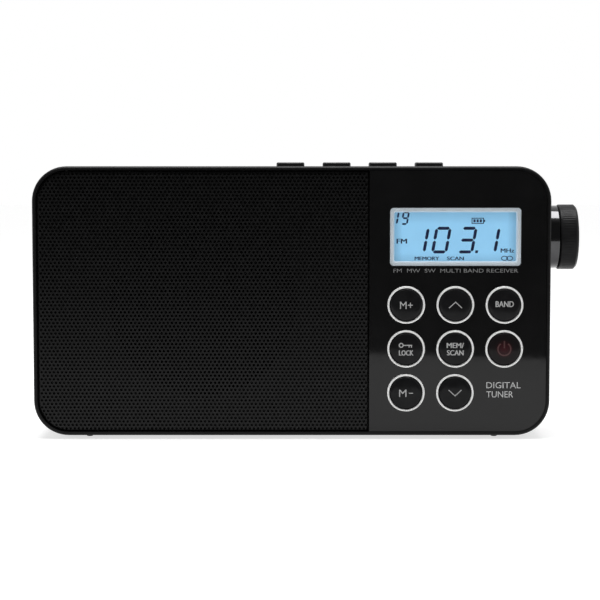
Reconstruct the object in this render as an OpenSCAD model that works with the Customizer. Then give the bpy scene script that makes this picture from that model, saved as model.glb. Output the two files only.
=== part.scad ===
// Tabletop radio. Origin under the middle of the whole radio, on the surface it stands on.
// +X points to the listener's right, +Y to the back and +Z up.

/* [Case] */
// Width of the case, without the side knob
case_w = 190; // [185:1:235]
// Height of the case, without its foot strips
case_h = 99; // [98:1:125]
// Depth of the case from the front rim to the back
case_d = 46; // [46:1:60]
// Radius of the four corners seen from the front
corner_r = 12.8; // [10.5:0.1:16]
// Rounding of the front edge
front_edge_r = 1.2; // [0.5:0.1:1.3]
// Rounding of the back edge
back_edge_r = 3; // [1:0.5:4]
// Wall thickness of both shells
wall_t = 2.2; // [1.8:0.1:2.8]
// Depth of the front shell, from the rim to the parting line
front_shell_d = 28; // [28:0.5:30]
// Rounding of both shells where they meet, which leaves a fine line round the case
parting_r = 0.35; // [0.1:0.05:0.5]

/* [Front panel] */
// Width of the rim round the grille and the fascia
rim_w = 1.4; // [1:0.1:2]
// Depth of the recess that holds the grille and the fascia
recess_d = 1.6; // [1.6:0.1:2]
// Thickness of the wall behind the recess
front_wall_t = 2; // [1.5:0.1:2.2]
// Gap round the grille and the fascia
panel_gap = 0.15; // [0.05:0.05:0.3]
// Width of the fascia
fascia_w = 65.1; // [62:0.1:75]
// Thickness of the fascia
fascia_t = 1.4; // [1:0.1:1.5]
// Total depth of the grille tray
grille_d = 1.2; // [1:0.1:1.5]
// Sheet thickness of the grille
grille_t = 0.8; // [0.5:0.1:0.9]

/* [Controls] */
// Distance from the right side to the middle column of buttons
control_inset = 35; // [34:0.5:40]
// Distance between button columns
button_pitch_x = 18; // [16:0.5:19.5]
// Distance between button rows
button_pitch_z = 16.2; // [15.5:0.1:17]
// Height of the lowest button row above the case bottom
button_row_z = 15.9; // [14:0.1:16]
// Outer diameter of a button's ring
ring_d = 13.8; // [11.5:0.1:14.4]
// Wall of a button's ring
ring_wall = 0.75; // [0.5:0.05:1]
// How far a ring stands out of the rim plane
ring_proud = 0.5; // [0:0.1:1]
// Height of the dome on a button
dome_h = 0.5; // [0.3:0.1:0.9]
// Travel of every button
button_travel = 0.8; // [0.4:0.1:0.9]
// Width of a key on the top
top_key_w = 10.4; // [8:0.1:13]
// Depth of a key on the top
top_key_l = 6; // [5:0.1:8]
// Distance between the keys on the top
top_key_pitch = 17.2; // [15.5:0.1:18.5]
// Height of the top keys above the case
top_key_proud = 1.45; // [1:0.05:3]
// Distance from the rim to the middle of the top keys
top_key_y = 16; // [14:0.5:18]
// Distance from the right side to the middle of the key group
top_key_inset = 69.7; // [65:0.1:75]

/* [Display] */
// Width of the display frame
display_w = 48; // [40:0.5:49]
// Height of the display frame
display_h = 21.2; // [18:0.1:22]
// Distance from the case top to the middle of the display
display_drop = 25.8; // [24:0.1:26]
// Width of the display frame's border
display_border = 1.6; // [0.6:0.1:2]

/* [Volume knob] */
// Diameter of the knob
knob_d = 24.4; // [18:0.1:26]
// Diameter of the plated collar under the knob
collar_d = 23.6; // [17.5:0.1:25]
// Distance from the case side to the knob's outer face
knob_reach = 11.5; // [10.5:0.1:16]
// Distance from the case side to the joint between collar and knob
collar_reach = 4.7; // [4:0.1:5]
// Distance from the case top to the knob's axis
knob_drop = 26.5; // [26:0.1:30]
// Distance from the rim to the knob's axis
knob_y = 20; // [18:0.5:20]
// Diameter of the control's shaft
shaft_d = 6; // [4:0.1:6.4]

/* [Speaker] */
// Diameter of the speaker frame
speaker_d = 77; // [60:1:84]
// Diameter of the magnet
magnet_d = 50; // [36:1:50]

/* [Battery] */
// Diameter of one cell
cell_d = 14.3; // [13.5:0.1:14.5]
// Length of one cell with its button
cell_l = 50.5; // [44:0.1:52]
// Thickness of the battery door
door_t = 2.4; // [2:0.1:2.6]

/* [Antenna] */
// Diameter of the widest antenna tube
tube_d = 7; // [6.4:0.1:7.4]
// Step in diameter from one tube to the next
tube_step = 1; // [0.8:0.05:1.1]
// Length of the widest antenna tube
tube_l = 141; // [100:1:145]
// How far each tube shows beyond the one round it
tube_show = 3; // [1:0.5:3]

/* [Feet] */
// Height of the foot strips
foot_h = 1.3; // [0.8:0.1:4]
// Width of a foot strip
foot_w = 2.4; // [2:0.1:8]
// Length of a foot strip
foot_l = 32; // [20:1:34]
// Distance from the middle of the case to a foot strip
foot_x = 75.3; // [60:0.1:78]

/* [Hidden] */
$fn = 48;

// Clearances
running_gap = 0.05;
button_gap = 0.1;
key_gap = 0.2;
stop_gap = 0.3;
door_gap = 0.25;
seat_gap = 0.1;
// Overshoot of a cut past the face it opens
cut = 1;

// Place of the case in the radio's own frame
frame_x = -knob_reach / 2;
frame_y = -(case_d - ring_proud - dome_h) / 2;
frame_z = foot_h;

// Landmarks of the case
half_w = case_w / 2;
mid_z = case_h / 2;
inner_w = case_w - 2 * wall_t;
inner_h = case_h - 2 * wall_t;
inner_r = corner_r - wall_t;
front_wall_y = recess_d + front_wall_t;
back_inner_y = case_d - wall_t;
side_inner_x = half_w - wall_t;
top_inner_z = case_h - wall_t;

// Tongue and groove along the parting line
lip_t = 1;
lip_l = 1.5;

// Grille and fascia
recess_w = case_w - 2 * rim_w;
recess_h = case_h - 2 * rim_w;
recess_r = corner_r - rim_w;
split_x = half_w - rim_w - fascia_w;
speaker_x = (split_x - half_w + rim_w) / 2;
speaker_z = mid_z;

// Buttons: centre of each on the front, and the stack behind it
control_x = half_w - control_inset;
button_xs = [control_x - button_pitch_x, control_x, control_x + button_pitch_x];
button_zs = [button_row_z + 2 * button_pitch_z, button_row_z + button_pitch_z, button_row_z];
button_places = [for (row = [0:2]) for (col = [0:2])
                 if (row < 2 || col < 2) [button_xs[col], button_zs[row]]];
cap_r = ring_d / 2 - ring_wall - button_gap;
dome_r = (cap_r * cap_r + dome_h * dome_h) / (2 * dome_h);
flange_t = 1;
flange_r = ring_d / 2 + 0.5;
stem_r = 1.75;
stem_l = 0.4;
flange_y = front_wall_y + stop_gap;
stem_end_y = flange_y + flange_t + stem_l;
switch_w = 6;
switch_h = 3.4;
plunger_h = 0.9;
plunger_y = stem_end_y + button_travel + button_gap;
board_t = 1.6;
keypad_y = plunger_y + plunger_h + switch_h;

// Keys on the top
top_key_mid = half_w - top_key_inset;
top_key_xs = [for (i = [0:3]) top_key_mid + (i - 1.5) * top_key_pitch];
key_r = 1.2;
key_flange_z = top_inner_z - stop_gap - flange_t;
key_stem_z = key_flange_z - stem_l;
key_plunger_z = key_stem_z - button_travel - button_gap;
top_board_z = key_plunger_z - plunger_h - switch_h - board_t;
top_board_w = 3 * top_key_pitch + 26;
top_board_l = 12;
top_post_dx = top_board_w / 2 - 3;

// Display
display_x = control_x;
display_z = case_h - display_drop;
display_r = 1.3;
window_t = 1.2;
lcd_w = display_w + 2;
lcd_h = display_h + 2.8;
lcd_t = 2.2;
backlight_t = 2.5;
lcd_y = front_wall_y;
backlight_y = lcd_y + lcd_t;

// Boards
keypad_x0 = split_x + 3;
keypad_x1 = half_w - 11;
keypad_z0 = 7;
keypad_z1 = case_h - 12;
keypad_bosses = [[control_x - button_pitch_x / 2, button_row_z + button_pitch_z / 2],
                 [control_x + button_pitch_x / 2, button_row_z + button_pitch_z / 2],
                 [control_x - 21, button_row_z + 2 * button_pitch_z + 10.1],
                 [control_x + 21, button_row_z + 2 * button_pitch_z + 10.1]];
main_y = 17.5;
main_x0 = split_x - 17.5;
main_x1 = half_w - 4;
main_z0 = 14.5;
main_z1 = 62;
main_bosses = [[main_x0 + 5, main_z0 + 5], [main_x0 + 5, main_z1 - 5],
               [main_x1 - 3, main_z0 + 5], [main_x1 - 3, main_z1 - 5]];
main_back_y = main_y + board_t;
boss_r = 2.3;
screw_r = 1;
screw_head_r = 2;
screw_head_h = 1.4;
screw_l = 5;
speaker_screw_l = 4;

// Case screws
case_post_r = 3;
case_screw_r = 1.5;
case_head_r = 2.7;
case_head_h = 2;
case_head_y = case_d - 8;
case_screw_l = 20;
case_posts = [[-half_w + 7, 10], [half_w - 7, 10], [-half_w + 7, case_h - 14],
              [half_w - 7, case_h - 14], [main_x0 - 5, 8]];

// Knob and its control
knob_z = case_h - knob_drop;
knob_side_gap = 0.4;
pot_r = 8;
pot_l = 8.5;
bushing_r = shaft_d / 2 + 0.6;
bushing_reach = 3.3;
nut_r = 6.35;
nut_t = 2.2;
collar_bore_r = nut_r + 1.6;
hub_r = shaft_d / 2 + 2;
knob_skin = 2;
knob_chamfer = 0.9;

// Speaker stack, from the front wall backwards
speaker_open_r = speaker_d / 2 - 4;
gasket_t = 1;
basket_y = front_wall_y + gasket_t;
basket_flange_t = 1.2;
basket_t = 1;
basket_neck_r = speaker_d / 2 - 22;
basket_back_y = basket_y + 15;
magnet_t = 8;
plate_t = 2;
speaker_ear_r = speaker_d / 2 + 4.5;
ear_w = 7;
ear_places = [for (a = [45:90:315]) [speaker_x + speaker_ear_r * cos(a),
                                     speaker_z + speaker_ear_r * sin(a)]];

// Antenna shelf along the top of the back
shelf_y = case_d - tube_d - 4;
shelf_z = case_h - tube_d - 2;
aerial_y = shelf_y + tube_d / 2 + 1;
aerial_z = shelf_z + tube_d / 2 + 0.5;
pivot_x = -half_w + 17;
tongue_t = 3;
tongue_r = tube_d / 2 - 0.3;
ear_t = 1.6;
fork_r = tube_d / 2 + 0.8;
ear_r = tube_d / 2 - 0.1;
pivot_pin_r = 1;
disc_t = 1.8;
disc_r = tube_d / 2 + 1.1;
disc_top_z = shelf_z + 0.6;
spigot_r = 2.2;
spigot_l = 5;
socket_wall = 1.1;
boss_wall = 1.4;
socket_z = disc_top_z - disc_t - seat_gap;
tube_x = pivot_x + 5;
tube_plug = 4;
tube_rs = [for (i = [0:4]) (tube_d - i * tube_step) / 2];
tube_ends = [for (i = [0:4]) tube_x + tube_l + i * tube_show];
tube_starts = [for (i = [0:4]) i == 0 ? tube_x : tube_x + tube_plug + 2 * i];
tip_l = 6;
tip_r = tube_d / 2 - 0.1;

// Ferrite rod
ferrite_r = 5;
ferrite_l = 110;
ferrite_x0 = speaker_x - ferrite_l / 2 + 20;
ferrite_y = case_d - 17;
ferrite_z = case_h - 17;
coil_t = 1.2;
clip_w = 8;

// Battery compartment
cell_count = 3;
cell_pitch = cell_d + 0.3;
battery_wall = 1.6;
contact_t = 0.5;
spring_l = 5.5;
cell_button_l = 1.2;
bay_l = cell_l + spring_l + 2 * contact_t;
bay_h = cell_count * cell_pitch + 0.2;
bay_x1 = half_w - 12;
bay_x0 = bay_x1 - bay_l;
bay_z0 = 14.4;
bay_z1 = bay_z0 + bay_h;
cell_y = case_d - door_t - 0.3 - cell_d / 2;
bay_y0 = cell_y - cell_d / 2 - 0.2;
ledge = 1.2;
door_hinge_r = door_t / 2 + 0.4;
door_x0 = bay_x0 - ledge;
door_x1 = bay_x1 + ledge;
door_z0 = bay_z0 - 3.6;
door_z1 = bay_z1 + ledge;
door_hinge_y = case_d - door_hinge_r;
door_hinge_z = door_z0 + door_gap + door_hinge_r;
door_pin_r = 0.9;
door_pin_l = 2.5;

// Jacks on the left side
jack_y = case_d - 12.8;
jack_w = 6;
jack_l = 13;
jack_board_y = jack_y - jack_w / 2 - board_t;
earphone_z = 30;
earphone_bore_r = 1.8;
earphone_bore_l = 14;
dc_z = 45;
dc_bore_r = 2.1;
dc_pin_r = 0.65;
dc_bore_l = 9;
nose_r = 2.9;
jack_board_w = 16;
jack_board_z0 = earphone_z - 10;
jack_board_z1 = dc_z + 10;
jack_bosses = [[-side_inner_x + 12.5, jack_board_z0 + 4], [-side_inner_x + 12.5, jack_board_z1 - 4]];

// Moves case positions into the radio's own frame
module in_frame() {
  translate([frame_x, frame_y, frame_z]) children();
}

// Outline with four round corners, centred
module rounded_outline(w, h, r) {
  square([w - 2 * r, h], center = true);
  square([w, h - 2 * r], center = true);
  for (sx = [-1, 1], sz = [-1, 1])
    translate([sx * (w / 2 - r), sz * (h / 2 - r)]) circle(r, $fn = 64);
}

// Round-cornered slab from y0 back to y1, centred at x and z
module slab(w, h, r, x, z, y0, y1) {
  translate([x, y1, z]) rotate([90, 0, 0]) linear_extrude(y1 - y0) rounded_outline(w, h, r);
}

// Box between two opposite corners
module block(low, high) {
  translate(low) cube(high - low);
}

// Round bar along Y
module bar_y(x, z, y0, y1, r) {
  translate([x, y1, z]) rotate([90, 0, 0]) cylinder(r = r, h = y1 - y0);
}

// Round bar along X
module bar_x(y, z, x0, x1, r) {
  translate([x0, y, z]) rotate([0, 90, 0]) cylinder(r = r, h = x1 - x0);
}

// Round bar along Z
module bar_z(x, y, z0, z1, r) {
  translate([x, y, z0]) cylinder(r = r, h = z1 - z0);
}

// Half section of a wall corner: width r, depth d, rounded at the front and at the back
module edge_section(r, d, front_r, back_r) {
  difference() {
    square([r, d]);
    if (front_r > 0) translate([r - front_r, 0]) difference() {
      translate([0, -cut]) square([front_r + cut, front_r + cut]);
      translate([0, front_r]) circle(front_r, $fn = 64);
    }
    if (back_r > 0) translate([r - back_r, d - back_r]) difference() {
      square([back_r + cut, back_r + cut]);
      circle(back_r, $fn = 64);
    }
  }
}

// Case body with round corners and rounded front and back edges, from y = 0 to y = d
module case_block(d, front_r, back_r) {
  dx = half_w - corner_r;
  dz = mid_z - corner_r;
  translate([0, 0, mid_z]) {
    for (sx = [-1, 1], sz = [-1, 1]) translate([sx * dx, 0, sz * dz]) rotate([-90, 0, 0])
      rotate([0, 0, sx > 0 ? (sz > 0 ? -90 : 0) : (sz > 0 ? 180 : 90)])
      rotate_extrude(angle = 90, $fn = 96) edge_section(corner_r, d, front_r, back_r);
    for (sx = [-1, 1]) translate([sx * dx, 0, -dz]) mirror([sx < 0 ? 1 : 0, 0, 0])
      linear_extrude(2 * dz) edge_section(corner_r, d, front_r, back_r);
    for (sz = [-1, 1]) translate([-dx, 0, sz * dz]) rotate([0, 90, 0])
      mirror([sz > 0 ? 1 : 0, 0, 0])
      linear_extrude(2 * dx) edge_section(corner_r, d, front_r, back_r);
    translate([-dx, 0, -dz]) cube([2 * dx, d, 2 * dz]);
  }
}

// Ring that follows the case outline, inset from the outside by two amounts
module case_ring(inset_out, inset_in, y0, y1) {
  difference() {
    slab(case_w - 2 * inset_out, case_h - 2 * inset_out, corner_r - inset_out, 0, mid_z, y0, y1);
    slab(case_w - 2 * inset_in, case_h - 2 * inset_in, corner_r - inset_in, 0, mid_z,
         y0 - cut, y1 + cut);
  }
}

// Slot for one key in the top wall
module top_key_prism(w, l, r, z0, z1) {
  translate([0, top_key_y, z0]) linear_extrude(z1 - z0) rounded_outline(w, l, r);
}

module front_shell() {
  color("#1b1b1d") in_frame() difference() {
    union() {
      difference() {
        case_block(front_shell_d, front_edge_r, parting_r);
        slab(recess_w, recess_h, recess_r, 0, mid_z, -cut, recess_d);
        slab(inner_w, inner_h, inner_r, 0, mid_z, front_wall_y, front_shell_d + cut);
      }
      case_ring(wall_t - lip_t, wall_t, front_shell_d - lip_l, front_shell_d + lip_l);
      for (p = case_posts) bar_y(p[0], p[1], recess_d, front_shell_d, case_post_r);
      for (p = ear_places) bar_y(p[0], p[1], recess_d, basket_y, boss_r);
      for (p = keypad_bosses) bar_y(p[0], p[1], recess_d, keypad_y, boss_r);
      for (p = main_bosses) bar_y(p[0], p[1], recess_d, main_y, boss_r);
      for (s = [-1, 1])
        bar_z(top_key_mid + s * top_post_dx, top_key_y, top_board_z + board_t, case_h - wall_t / 2, boss_r);
    }
    bar_y(speaker_x, speaker_z, -cut, front_wall_y + cut, speaker_open_r);
    slab(display_w, display_h, display_r, display_x, display_z, -cut, front_wall_y + cut);
    for (p = button_places) bar_y(p[0], p[1], -cut, front_wall_y + cut, ring_d / 2);
    for (x = top_key_xs) translate([x, 0, 0])
      top_key_prism(top_key_w + 2 * key_gap, top_key_l + 2 * key_gap, key_r + key_gap,
                    top_inner_z - cut, case_h + cut);
    bar_x(knob_y, knob_z, side_inner_x - cut, half_w + cut, bushing_r + seat_gap);
    for (p = case_posts)
      bar_y(p[0], p[1], case_head_y - case_screw_l, front_shell_d + cut, case_screw_r);
    for (p = ear_places)
      bar_y(p[0], p[1], basket_y + basket_flange_t - speaker_screw_l, basket_y + cut, screw_r);
    for (p = keypad_bosses)
      bar_y(p[0], p[1], keypad_y + board_t - screw_l, keypad_y + cut, screw_r);
    for (p = main_bosses)
      bar_y(p[0], p[1], main_y + board_t - screw_l, main_y + cut, screw_r);
    for (s = [-1, 1]) bar_z(top_key_mid + s * top_post_dx, top_key_y,
                            top_board_z + board_t - cut, top_board_z + screw_l, screw_r);
  }
}

module rear_shell() {
  color("#1b1b1d") in_frame() difference() {
    union() {
      difference() {
        translate([0, front_shell_d, 0]) case_block(case_d - front_shell_d, parting_r, back_edge_r);
        difference() {
          slab(inner_w, inner_h, inner_r, 0, mid_z, front_shell_d - cut, back_inner_y);
          block([-case_w, shelf_y - wall_t, shelf_z - wall_t], [case_w, case_d, case_h]);
        }
        block([-case_w, shelf_y, shelf_z], [case_w, case_d + cut, case_h + cut]);
        case_ring(wall_t - lip_t - seat_gap, wall_t + cut, front_shell_d - cut,
                  front_shell_d + lip_l + seat_gap);
      }
      block([bay_x0 - battery_wall, bay_y0 - battery_wall, bay_z0 - battery_wall],
            [bay_x1 + battery_wall, case_d - wall_t / 2, bay_z1 + battery_wall]);
      block([door_x0 - 2 * door_pin_l, door_hinge_y - 2 * door_hinge_r, door_z0 - battery_wall],
            [door_x1 + door_pin_l + 1, case_d - wall_t / 2, bay_z0]);
      for (p = case_posts) bar_y(p[0], p[1], front_shell_d, case_d - wall_t / 2, case_post_r + 0.7);
      for (p = jack_bosses) bar_y(p[0], p[1], jack_y - jack_w / 2, case_d - wall_t / 2, boss_r);
      bar_z(pivot_x, aerial_y, socket_z - spigot_l, shelf_z - wall_t / 2,
            spigot_r + running_gap + socket_wall + boss_wall);
    }
    block([bay_x0, bay_y0, bay_z0], [bay_x1, case_d + cut, bay_z1]);
    block([door_x0, case_d - door_t - seat_gap, door_z0], [door_x1, case_d + cut, door_z1]);
    block([door_x0, door_hinge_y - door_hinge_r - door_gap, door_z0],
          [door_x1, case_d + cut, door_hinge_z + door_hinge_r + door_gap]);
    bar_x(door_hinge_y, door_hinge_z, door_x0 - door_pin_l, door_x1 + door_pin_l,
          door_pin_r + running_gap);
    translate([(door_x0 + door_x1) / 2, case_d + 8.8, door_z1]) sphere(r = 10);
    for (p = case_posts) {
      bar_y(p[0], p[1], front_shell_d - cut, case_d, case_screw_r + seat_gap);
      bar_y(p[0], p[1], case_head_y, case_d + cut, case_head_r + seat_gap);
    }
    for (p = jack_bosses)
      bar_y(p[0], p[1], jack_y - jack_w / 2 - cut, jack_board_y + screw_l, screw_r);
    for (z = [earphone_z, dc_z]) bar_x(jack_y, z, -half_w - cut, -side_inner_x + cut, nose_r);
    bar_z(pivot_x, aerial_y, socket_z - spigot_l - cut, shelf_z + cut,
          spigot_r + running_gap + socket_wall);
    bar_z(pivot_x, aerial_y, socket_z, shelf_z + cut, disc_r + key_gap);
  }
}

module speaker_grille() {
  w = split_x + half_w - rim_w - 2 * panel_gap;
  color("#2a2a2c") in_frame() intersection() {
    difference() {
      slab(recess_w - 2 * panel_gap, recess_h - 2 * panel_gap, recess_r - panel_gap, 0, mid_z,
           recess_d - grille_d, recess_d);
      slab(recess_w - 2 * panel_gap - 2 * grille_t, recess_h - 2 * panel_gap - 2 * grille_t,
           recess_r - panel_gap - grille_t, 0, mid_z, recess_d - grille_d + grille_t, recess_d + cut);
    }
    block([-half_w, -cut, 0], [-half_w + rim_w + panel_gap + w, recess_d + cut, case_h]);
  }
}

module control_fascia() {
  color("#0c0c0e") in_frame() difference() {
    intersection() {
      slab(recess_w - 2 * panel_gap, recess_h - 2 * panel_gap, recess_r - panel_gap, 0, mid_z,
           recess_d - fascia_t, recess_d);
      block([split_x, -cut, 0], [half_w, recess_d + cut, case_h]);
    }
    slab(display_w, display_h, display_r, display_x, display_z, -cut, recess_d + cut);
    for (p = button_places) bar_y(p[0], p[1], -cut, recess_d + cut, ring_d / 2);
  }
}

module display_window() {
  color("#cfe4f2", 0.4) in_frame()
    slab(display_w, display_h, display_r, display_x, display_z,
         recess_d - fascia_t, recess_d - fascia_t + window_t);
}

module display_frame() {
  color("#b9c2c8") in_frame() difference() {
    slab(display_w, display_h, display_r, display_x, display_z,
         recess_d - fascia_t + window_t, front_wall_y);
    slab(display_w - 2 * display_border, display_h - 2 * display_border,
         display_r - display_border / 2, display_x, display_z, -cut, front_wall_y + cut);
  }
}

module lcd_panel() {
  color("#86bce0") in_frame()
    slab(lcd_w, lcd_h, 0.5, display_x, display_z, lcd_y, lcd_y + lcd_t);
}

module backlight_plate() {
  color("#e8eef2") in_frame() {
    slab(lcd_w, lcd_h, 0.5, display_x, display_z, backlight_y, backlight_y + backlight_t);
    for (sx = [-1, 1], sz = [-1, 1])
      bar_y(display_x + sx * (lcd_w / 2 - 3), display_z + sz * (lcd_h / 2 - 3),
            backlight_y + backlight_t, keypad_y, 1.2);
  }
}

module button_rings() {
  color("#d8d8d6") in_frame() for (p = button_places) difference() {
    bar_y(p[0], p[1], -ring_proud, front_wall_y, ring_d / 2);
    bar_y(p[0], p[1], -ring_proud - cut, front_wall_y + cut, ring_d / 2 - ring_wall);
  }
}

module foot_strips() {
  y0 = (case_d - foot_l) / 2;
  color("#101010") in_frame() for (s = [-1, 1]) translate([s * foot_x, 0, 0]) {
    block([-foot_w / 2, y0 + foot_w / 2, -foot_h], [foot_w / 2, y0 + foot_l - foot_w / 2, 0]);
    for (y = [y0 + foot_w / 2, y0 + foot_l - foot_w / 2]) bar_z(0, y, -foot_h, 0, foot_w / 2);
  }
}

module keypad_board() {
  color("#1d6b3a") in_frame() difference() {
    block([keypad_x0, keypad_y, keypad_z0], [keypad_x1, keypad_y + board_t, keypad_z1]);
    for (p = keypad_bosses) bar_y(p[0], p[1], keypad_y - cut, keypad_y + board_t + cut, screw_r);
  }
}

// Square push switch that faces +Z, standing on z = 0
module tact_switch() {
  translate([-switch_w / 2, -switch_w / 2, 0]) cube([switch_w, switch_w, switch_h]);
  cylinder(r = stem_r, h = switch_h + plunger_h);
}

module tact_switches() {
  color("#3a3a3c") in_frame() {
    for (p = button_places) translate([p[0], keypad_y, p[1]]) rotate([90, 0, 0]) tact_switch();
    for (x = top_key_xs) translate([x, top_key_y, top_board_z + board_t]) tact_switch();
  }
}

module top_key_board() {
  color("#1d6b3a") in_frame() difference() {
    block([top_key_mid - top_board_w / 2, top_key_y - top_board_l / 2, top_board_z],
          [top_key_mid + top_board_w / 2, top_key_y + top_board_l / 2, top_board_z + board_t]);
    for (s = [-1, 1]) bar_z(top_key_mid + s * top_post_dx, top_key_y,
                            top_board_z - cut, top_board_z + board_t + cut, screw_r);
  }
}

module main_board() {
  color("#1d6b3a") in_frame() difference() {
    block([main_x0, main_y, main_z0], [main_x1, main_back_y, main_z1]);
    for (p = main_bosses) bar_y(p[0], p[1], main_y - cut, main_back_y + cut, screw_r);
  }
}

module tuner_shield() {
  color("#c9ccce") in_frame()
    block([main_x0 + 13, main_back_y, main_z0 + 16], [main_x0 + 37, main_back_y + 5, main_z1 - 12]);
}

module board_chips() {
  color("#202022") in_frame() {
    block([main_x0 + 42, main_back_y, main_z0 + 20], [main_x0 + 54, main_back_y + 1.4, main_z0 + 32]);
    block([main_x0 + 58, main_back_y, main_z0 + 6], [main_x0 + 66, main_back_y + 1.4, main_z0 + 12]);
    block([main_x0 + 24, main_back_y, main_z0 + 4], [main_x0 + 34, main_back_y + 1.4, main_z0 + 9]);
    block([main_x0 + 66, main_back_y, main_z0 + 34], [main_x0 + 72, main_back_y + 1.4, main_z0 + 42]);
  }
}

module board_capacitors() {
  color("#28324f") in_frame() {
    for (i = [0:2])
      bar_y(main_x0 + 44 + 8 * i, main_z0 + 39, main_back_y, main_back_y + 6.5, 2.5);
    for (i = [0:1])
      bar_y(main_x0 + 42 + 9 * i, main_z0 + 9, main_back_y, main_back_y + 7, 3.2);
  }
}

// Screw ear of the speaker frame, joined to its round flange
module frame_ear(p, y1) {
  a = atan2(p[1] - speaker_z, p[0] - speaker_x);
  translate([speaker_x, 0, speaker_z]) rotate([0, -a, 0])
    block([speaker_d / 2 - 2, basket_y, -ear_w / 2], [speaker_ear_r + ear_w / 2, y1, ear_w / 2]);
}

module speaker_basket() {
  flange_y1 = basket_y + basket_flange_t;
  r0 = speaker_d / 2 - 2;
  color("#4a4c4e") in_frame() difference() {
    union() {
      translate([speaker_x, 0, speaker_z]) rotate([-90, 0, 0]) rotate_extrude($fn = 96)
        polygon([[r0 - basket_t, basket_y], [speaker_d / 2, basket_y], [speaker_d / 2, flange_y1],
                 [r0, flange_y1], [basket_neck_r, basket_back_y], [0, basket_back_y],
                 [0, basket_back_y - basket_t], [basket_neck_r - basket_t, basket_back_y - basket_t],
                 [r0 - basket_t, flange_y1]]);
      for (p = ear_places) frame_ear(p, flange_y1);
    }
    for (p = ear_places) bar_y(p[0], p[1], basket_y - cut, flange_y1 + cut, screw_r);
    for (a = [0:60:300]) translate([speaker_x, 0, speaker_z]) rotate([0, a, 0])
      block([basket_neck_r + 3, flange_y1 + 2, -4], [speaker_d / 2, basket_back_y - 3, 4]);
  }
}

module speaker_cone() {
  r1 = speaker_d / 2 - 4.5;
  neck = basket_neck_r - 8;
  y0 = basket_y + 1;
  color("#26262a") in_frame() translate([speaker_x, 0, speaker_z]) rotate([-90, 0, 0])
    rotate_extrude($fn = 96) polygon([[0, y0 + 6.2], [5, y0 + 6.8], [neck, y0 + 9],
      [r1 - 4, y0], [r1, y0], [r1, y0 + 0.8], [r1 - 3.4, y0 + 0.8], [neck, y0 + 10.2], [0, y0 + 10.2]]);
}

module speaker_magnet() {
  y0 = basket_back_y;
  color("#34343a") in_frame() difference() {
    union() {
      bar_y(speaker_x, speaker_z, y0, y0 + plate_t, magnet_d / 2 - 3);
      bar_y(speaker_x, speaker_z, y0 + plate_t, y0 + plate_t + magnet_t, magnet_d / 2);
      bar_y(speaker_x, speaker_z, y0 + plate_t + magnet_t, y0 + magnet_t + 2 * plate_t,
            magnet_d / 2 - 3);
    }
    bar_y(speaker_x, speaker_z, y0 + magnet_t + plate_t, y0 + magnet_t + 2 * plate_t + cut, 4);
  }
}

module speaker_gasket() {
  color("#151515") in_frame() difference() {
    bar_y(speaker_x, speaker_z, front_wall_y, basket_y, speaker_d / 2);
    bar_y(speaker_x, speaker_z, front_wall_y - cut, basket_y + cut, speaker_open_r);
  }
}

// Screw along Y with its head towards +Y; the head's underside is at y
module screw_y(x, z, y, l, r, head_r, head_h) {
  bar_y(x, z, y - l, y, r);
  difference() {
    bar_y(x, z, y, y + head_h, head_r);
    for (a = [0, 90]) translate([x, y + head_h, z]) rotate([0, a, 0])
      block([-head_r * 0.6, -head_h * 0.5, -0.3], [head_r * 0.6, cut, 0.3]);
  }
}

module speaker_screws() {
  color("#8c8c88") in_frame() for (p = ear_places)
    screw_y(p[0], p[1], basket_y + basket_flange_t, speaker_screw_l, screw_r, screw_head_r,
            screw_head_h);
}

module ferrite_rod() {
  color("#3b3b3f") in_frame() bar_x(ferrite_y, ferrite_z, ferrite_x0, ferrite_x0 + ferrite_l, ferrite_r);
}

module ferrite_coils() {
  color("#a5552b") in_frame() for (c = [[28, 22], [72, 14]]) difference() {
    bar_x(ferrite_y, ferrite_z, ferrite_x0 + c[0], ferrite_x0 + c[0] + c[1], ferrite_r + coil_t);
    bar_x(ferrite_y, ferrite_z, ferrite_x0, ferrite_x0 + ferrite_l, ferrite_r);
  }
}

module ferrite_clips() {
  color("#d9d6cc") in_frame() for (x = [ferrite_x0 + 10, ferrite_x0 + ferrite_l - 18]) difference() {
    block([x, ferrite_y - ferrite_r - 1.5, ferrite_z - ferrite_r - 1], [x + clip_w, back_inner_y, ferrite_z + 3]);
    bar_x(ferrite_y, ferrite_z, x - cut, x + clip_w + cut, ferrite_r);
  }
}

module volume_pot() {
  color("#9a9ca0") in_frame() difference() {
    union() {
      bar_x(knob_y, knob_z, side_inner_x - pot_l, side_inner_x, pot_r);
      bar_x(knob_y, knob_z, side_inner_x, half_w + bushing_reach, bushing_r);
      for (i = [-1:1]) block([side_inner_x - 4, knob_y + 5 * i - 0.7, knob_z - pot_r - 3],
                             [side_inner_x - 3.2, knob_y + 5 * i + 0.7, knob_z - pot_r + 3]);
    }
    bar_x(knob_y, knob_z, side_inner_x - pot_l + 3, half_w + bushing_reach + cut,
          shaft_d / 2 + running_gap);
  }
}

module pot_nut() {
  color("#b8b9bb") in_frame() difference() {
    translate([half_w, knob_y, knob_z]) rotate([0, 90, 0]) cylinder(r = nut_r, h = nut_t, $fn = 6);
    bar_x(knob_y, knob_z, half_w - cut, half_w + nut_t + cut, bushing_r);
  }
}

module jack_board() {
  color("#1d6b3a") in_frame() difference() {
    block([-side_inner_x + 0.8, jack_board_y, jack_board_z0],
          [-side_inner_x + jack_board_w, jack_board_y + board_t, jack_board_z1]);
    for (p = jack_bosses) bar_y(p[0], p[1], jack_board_y - cut, jack_board_y + board_t + cut, screw_r);
  }
}

// Socket on the left side at height z, without its hole
module jack_body(z) {
  block([-side_inner_x, jack_y - jack_w / 2, z - jack_w / 2],
        [-side_inner_x + jack_l, jack_y + jack_w / 2, z + jack_w / 2]);
  bar_x(jack_y, z, -half_w, -side_inner_x, nose_r);
}

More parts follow.
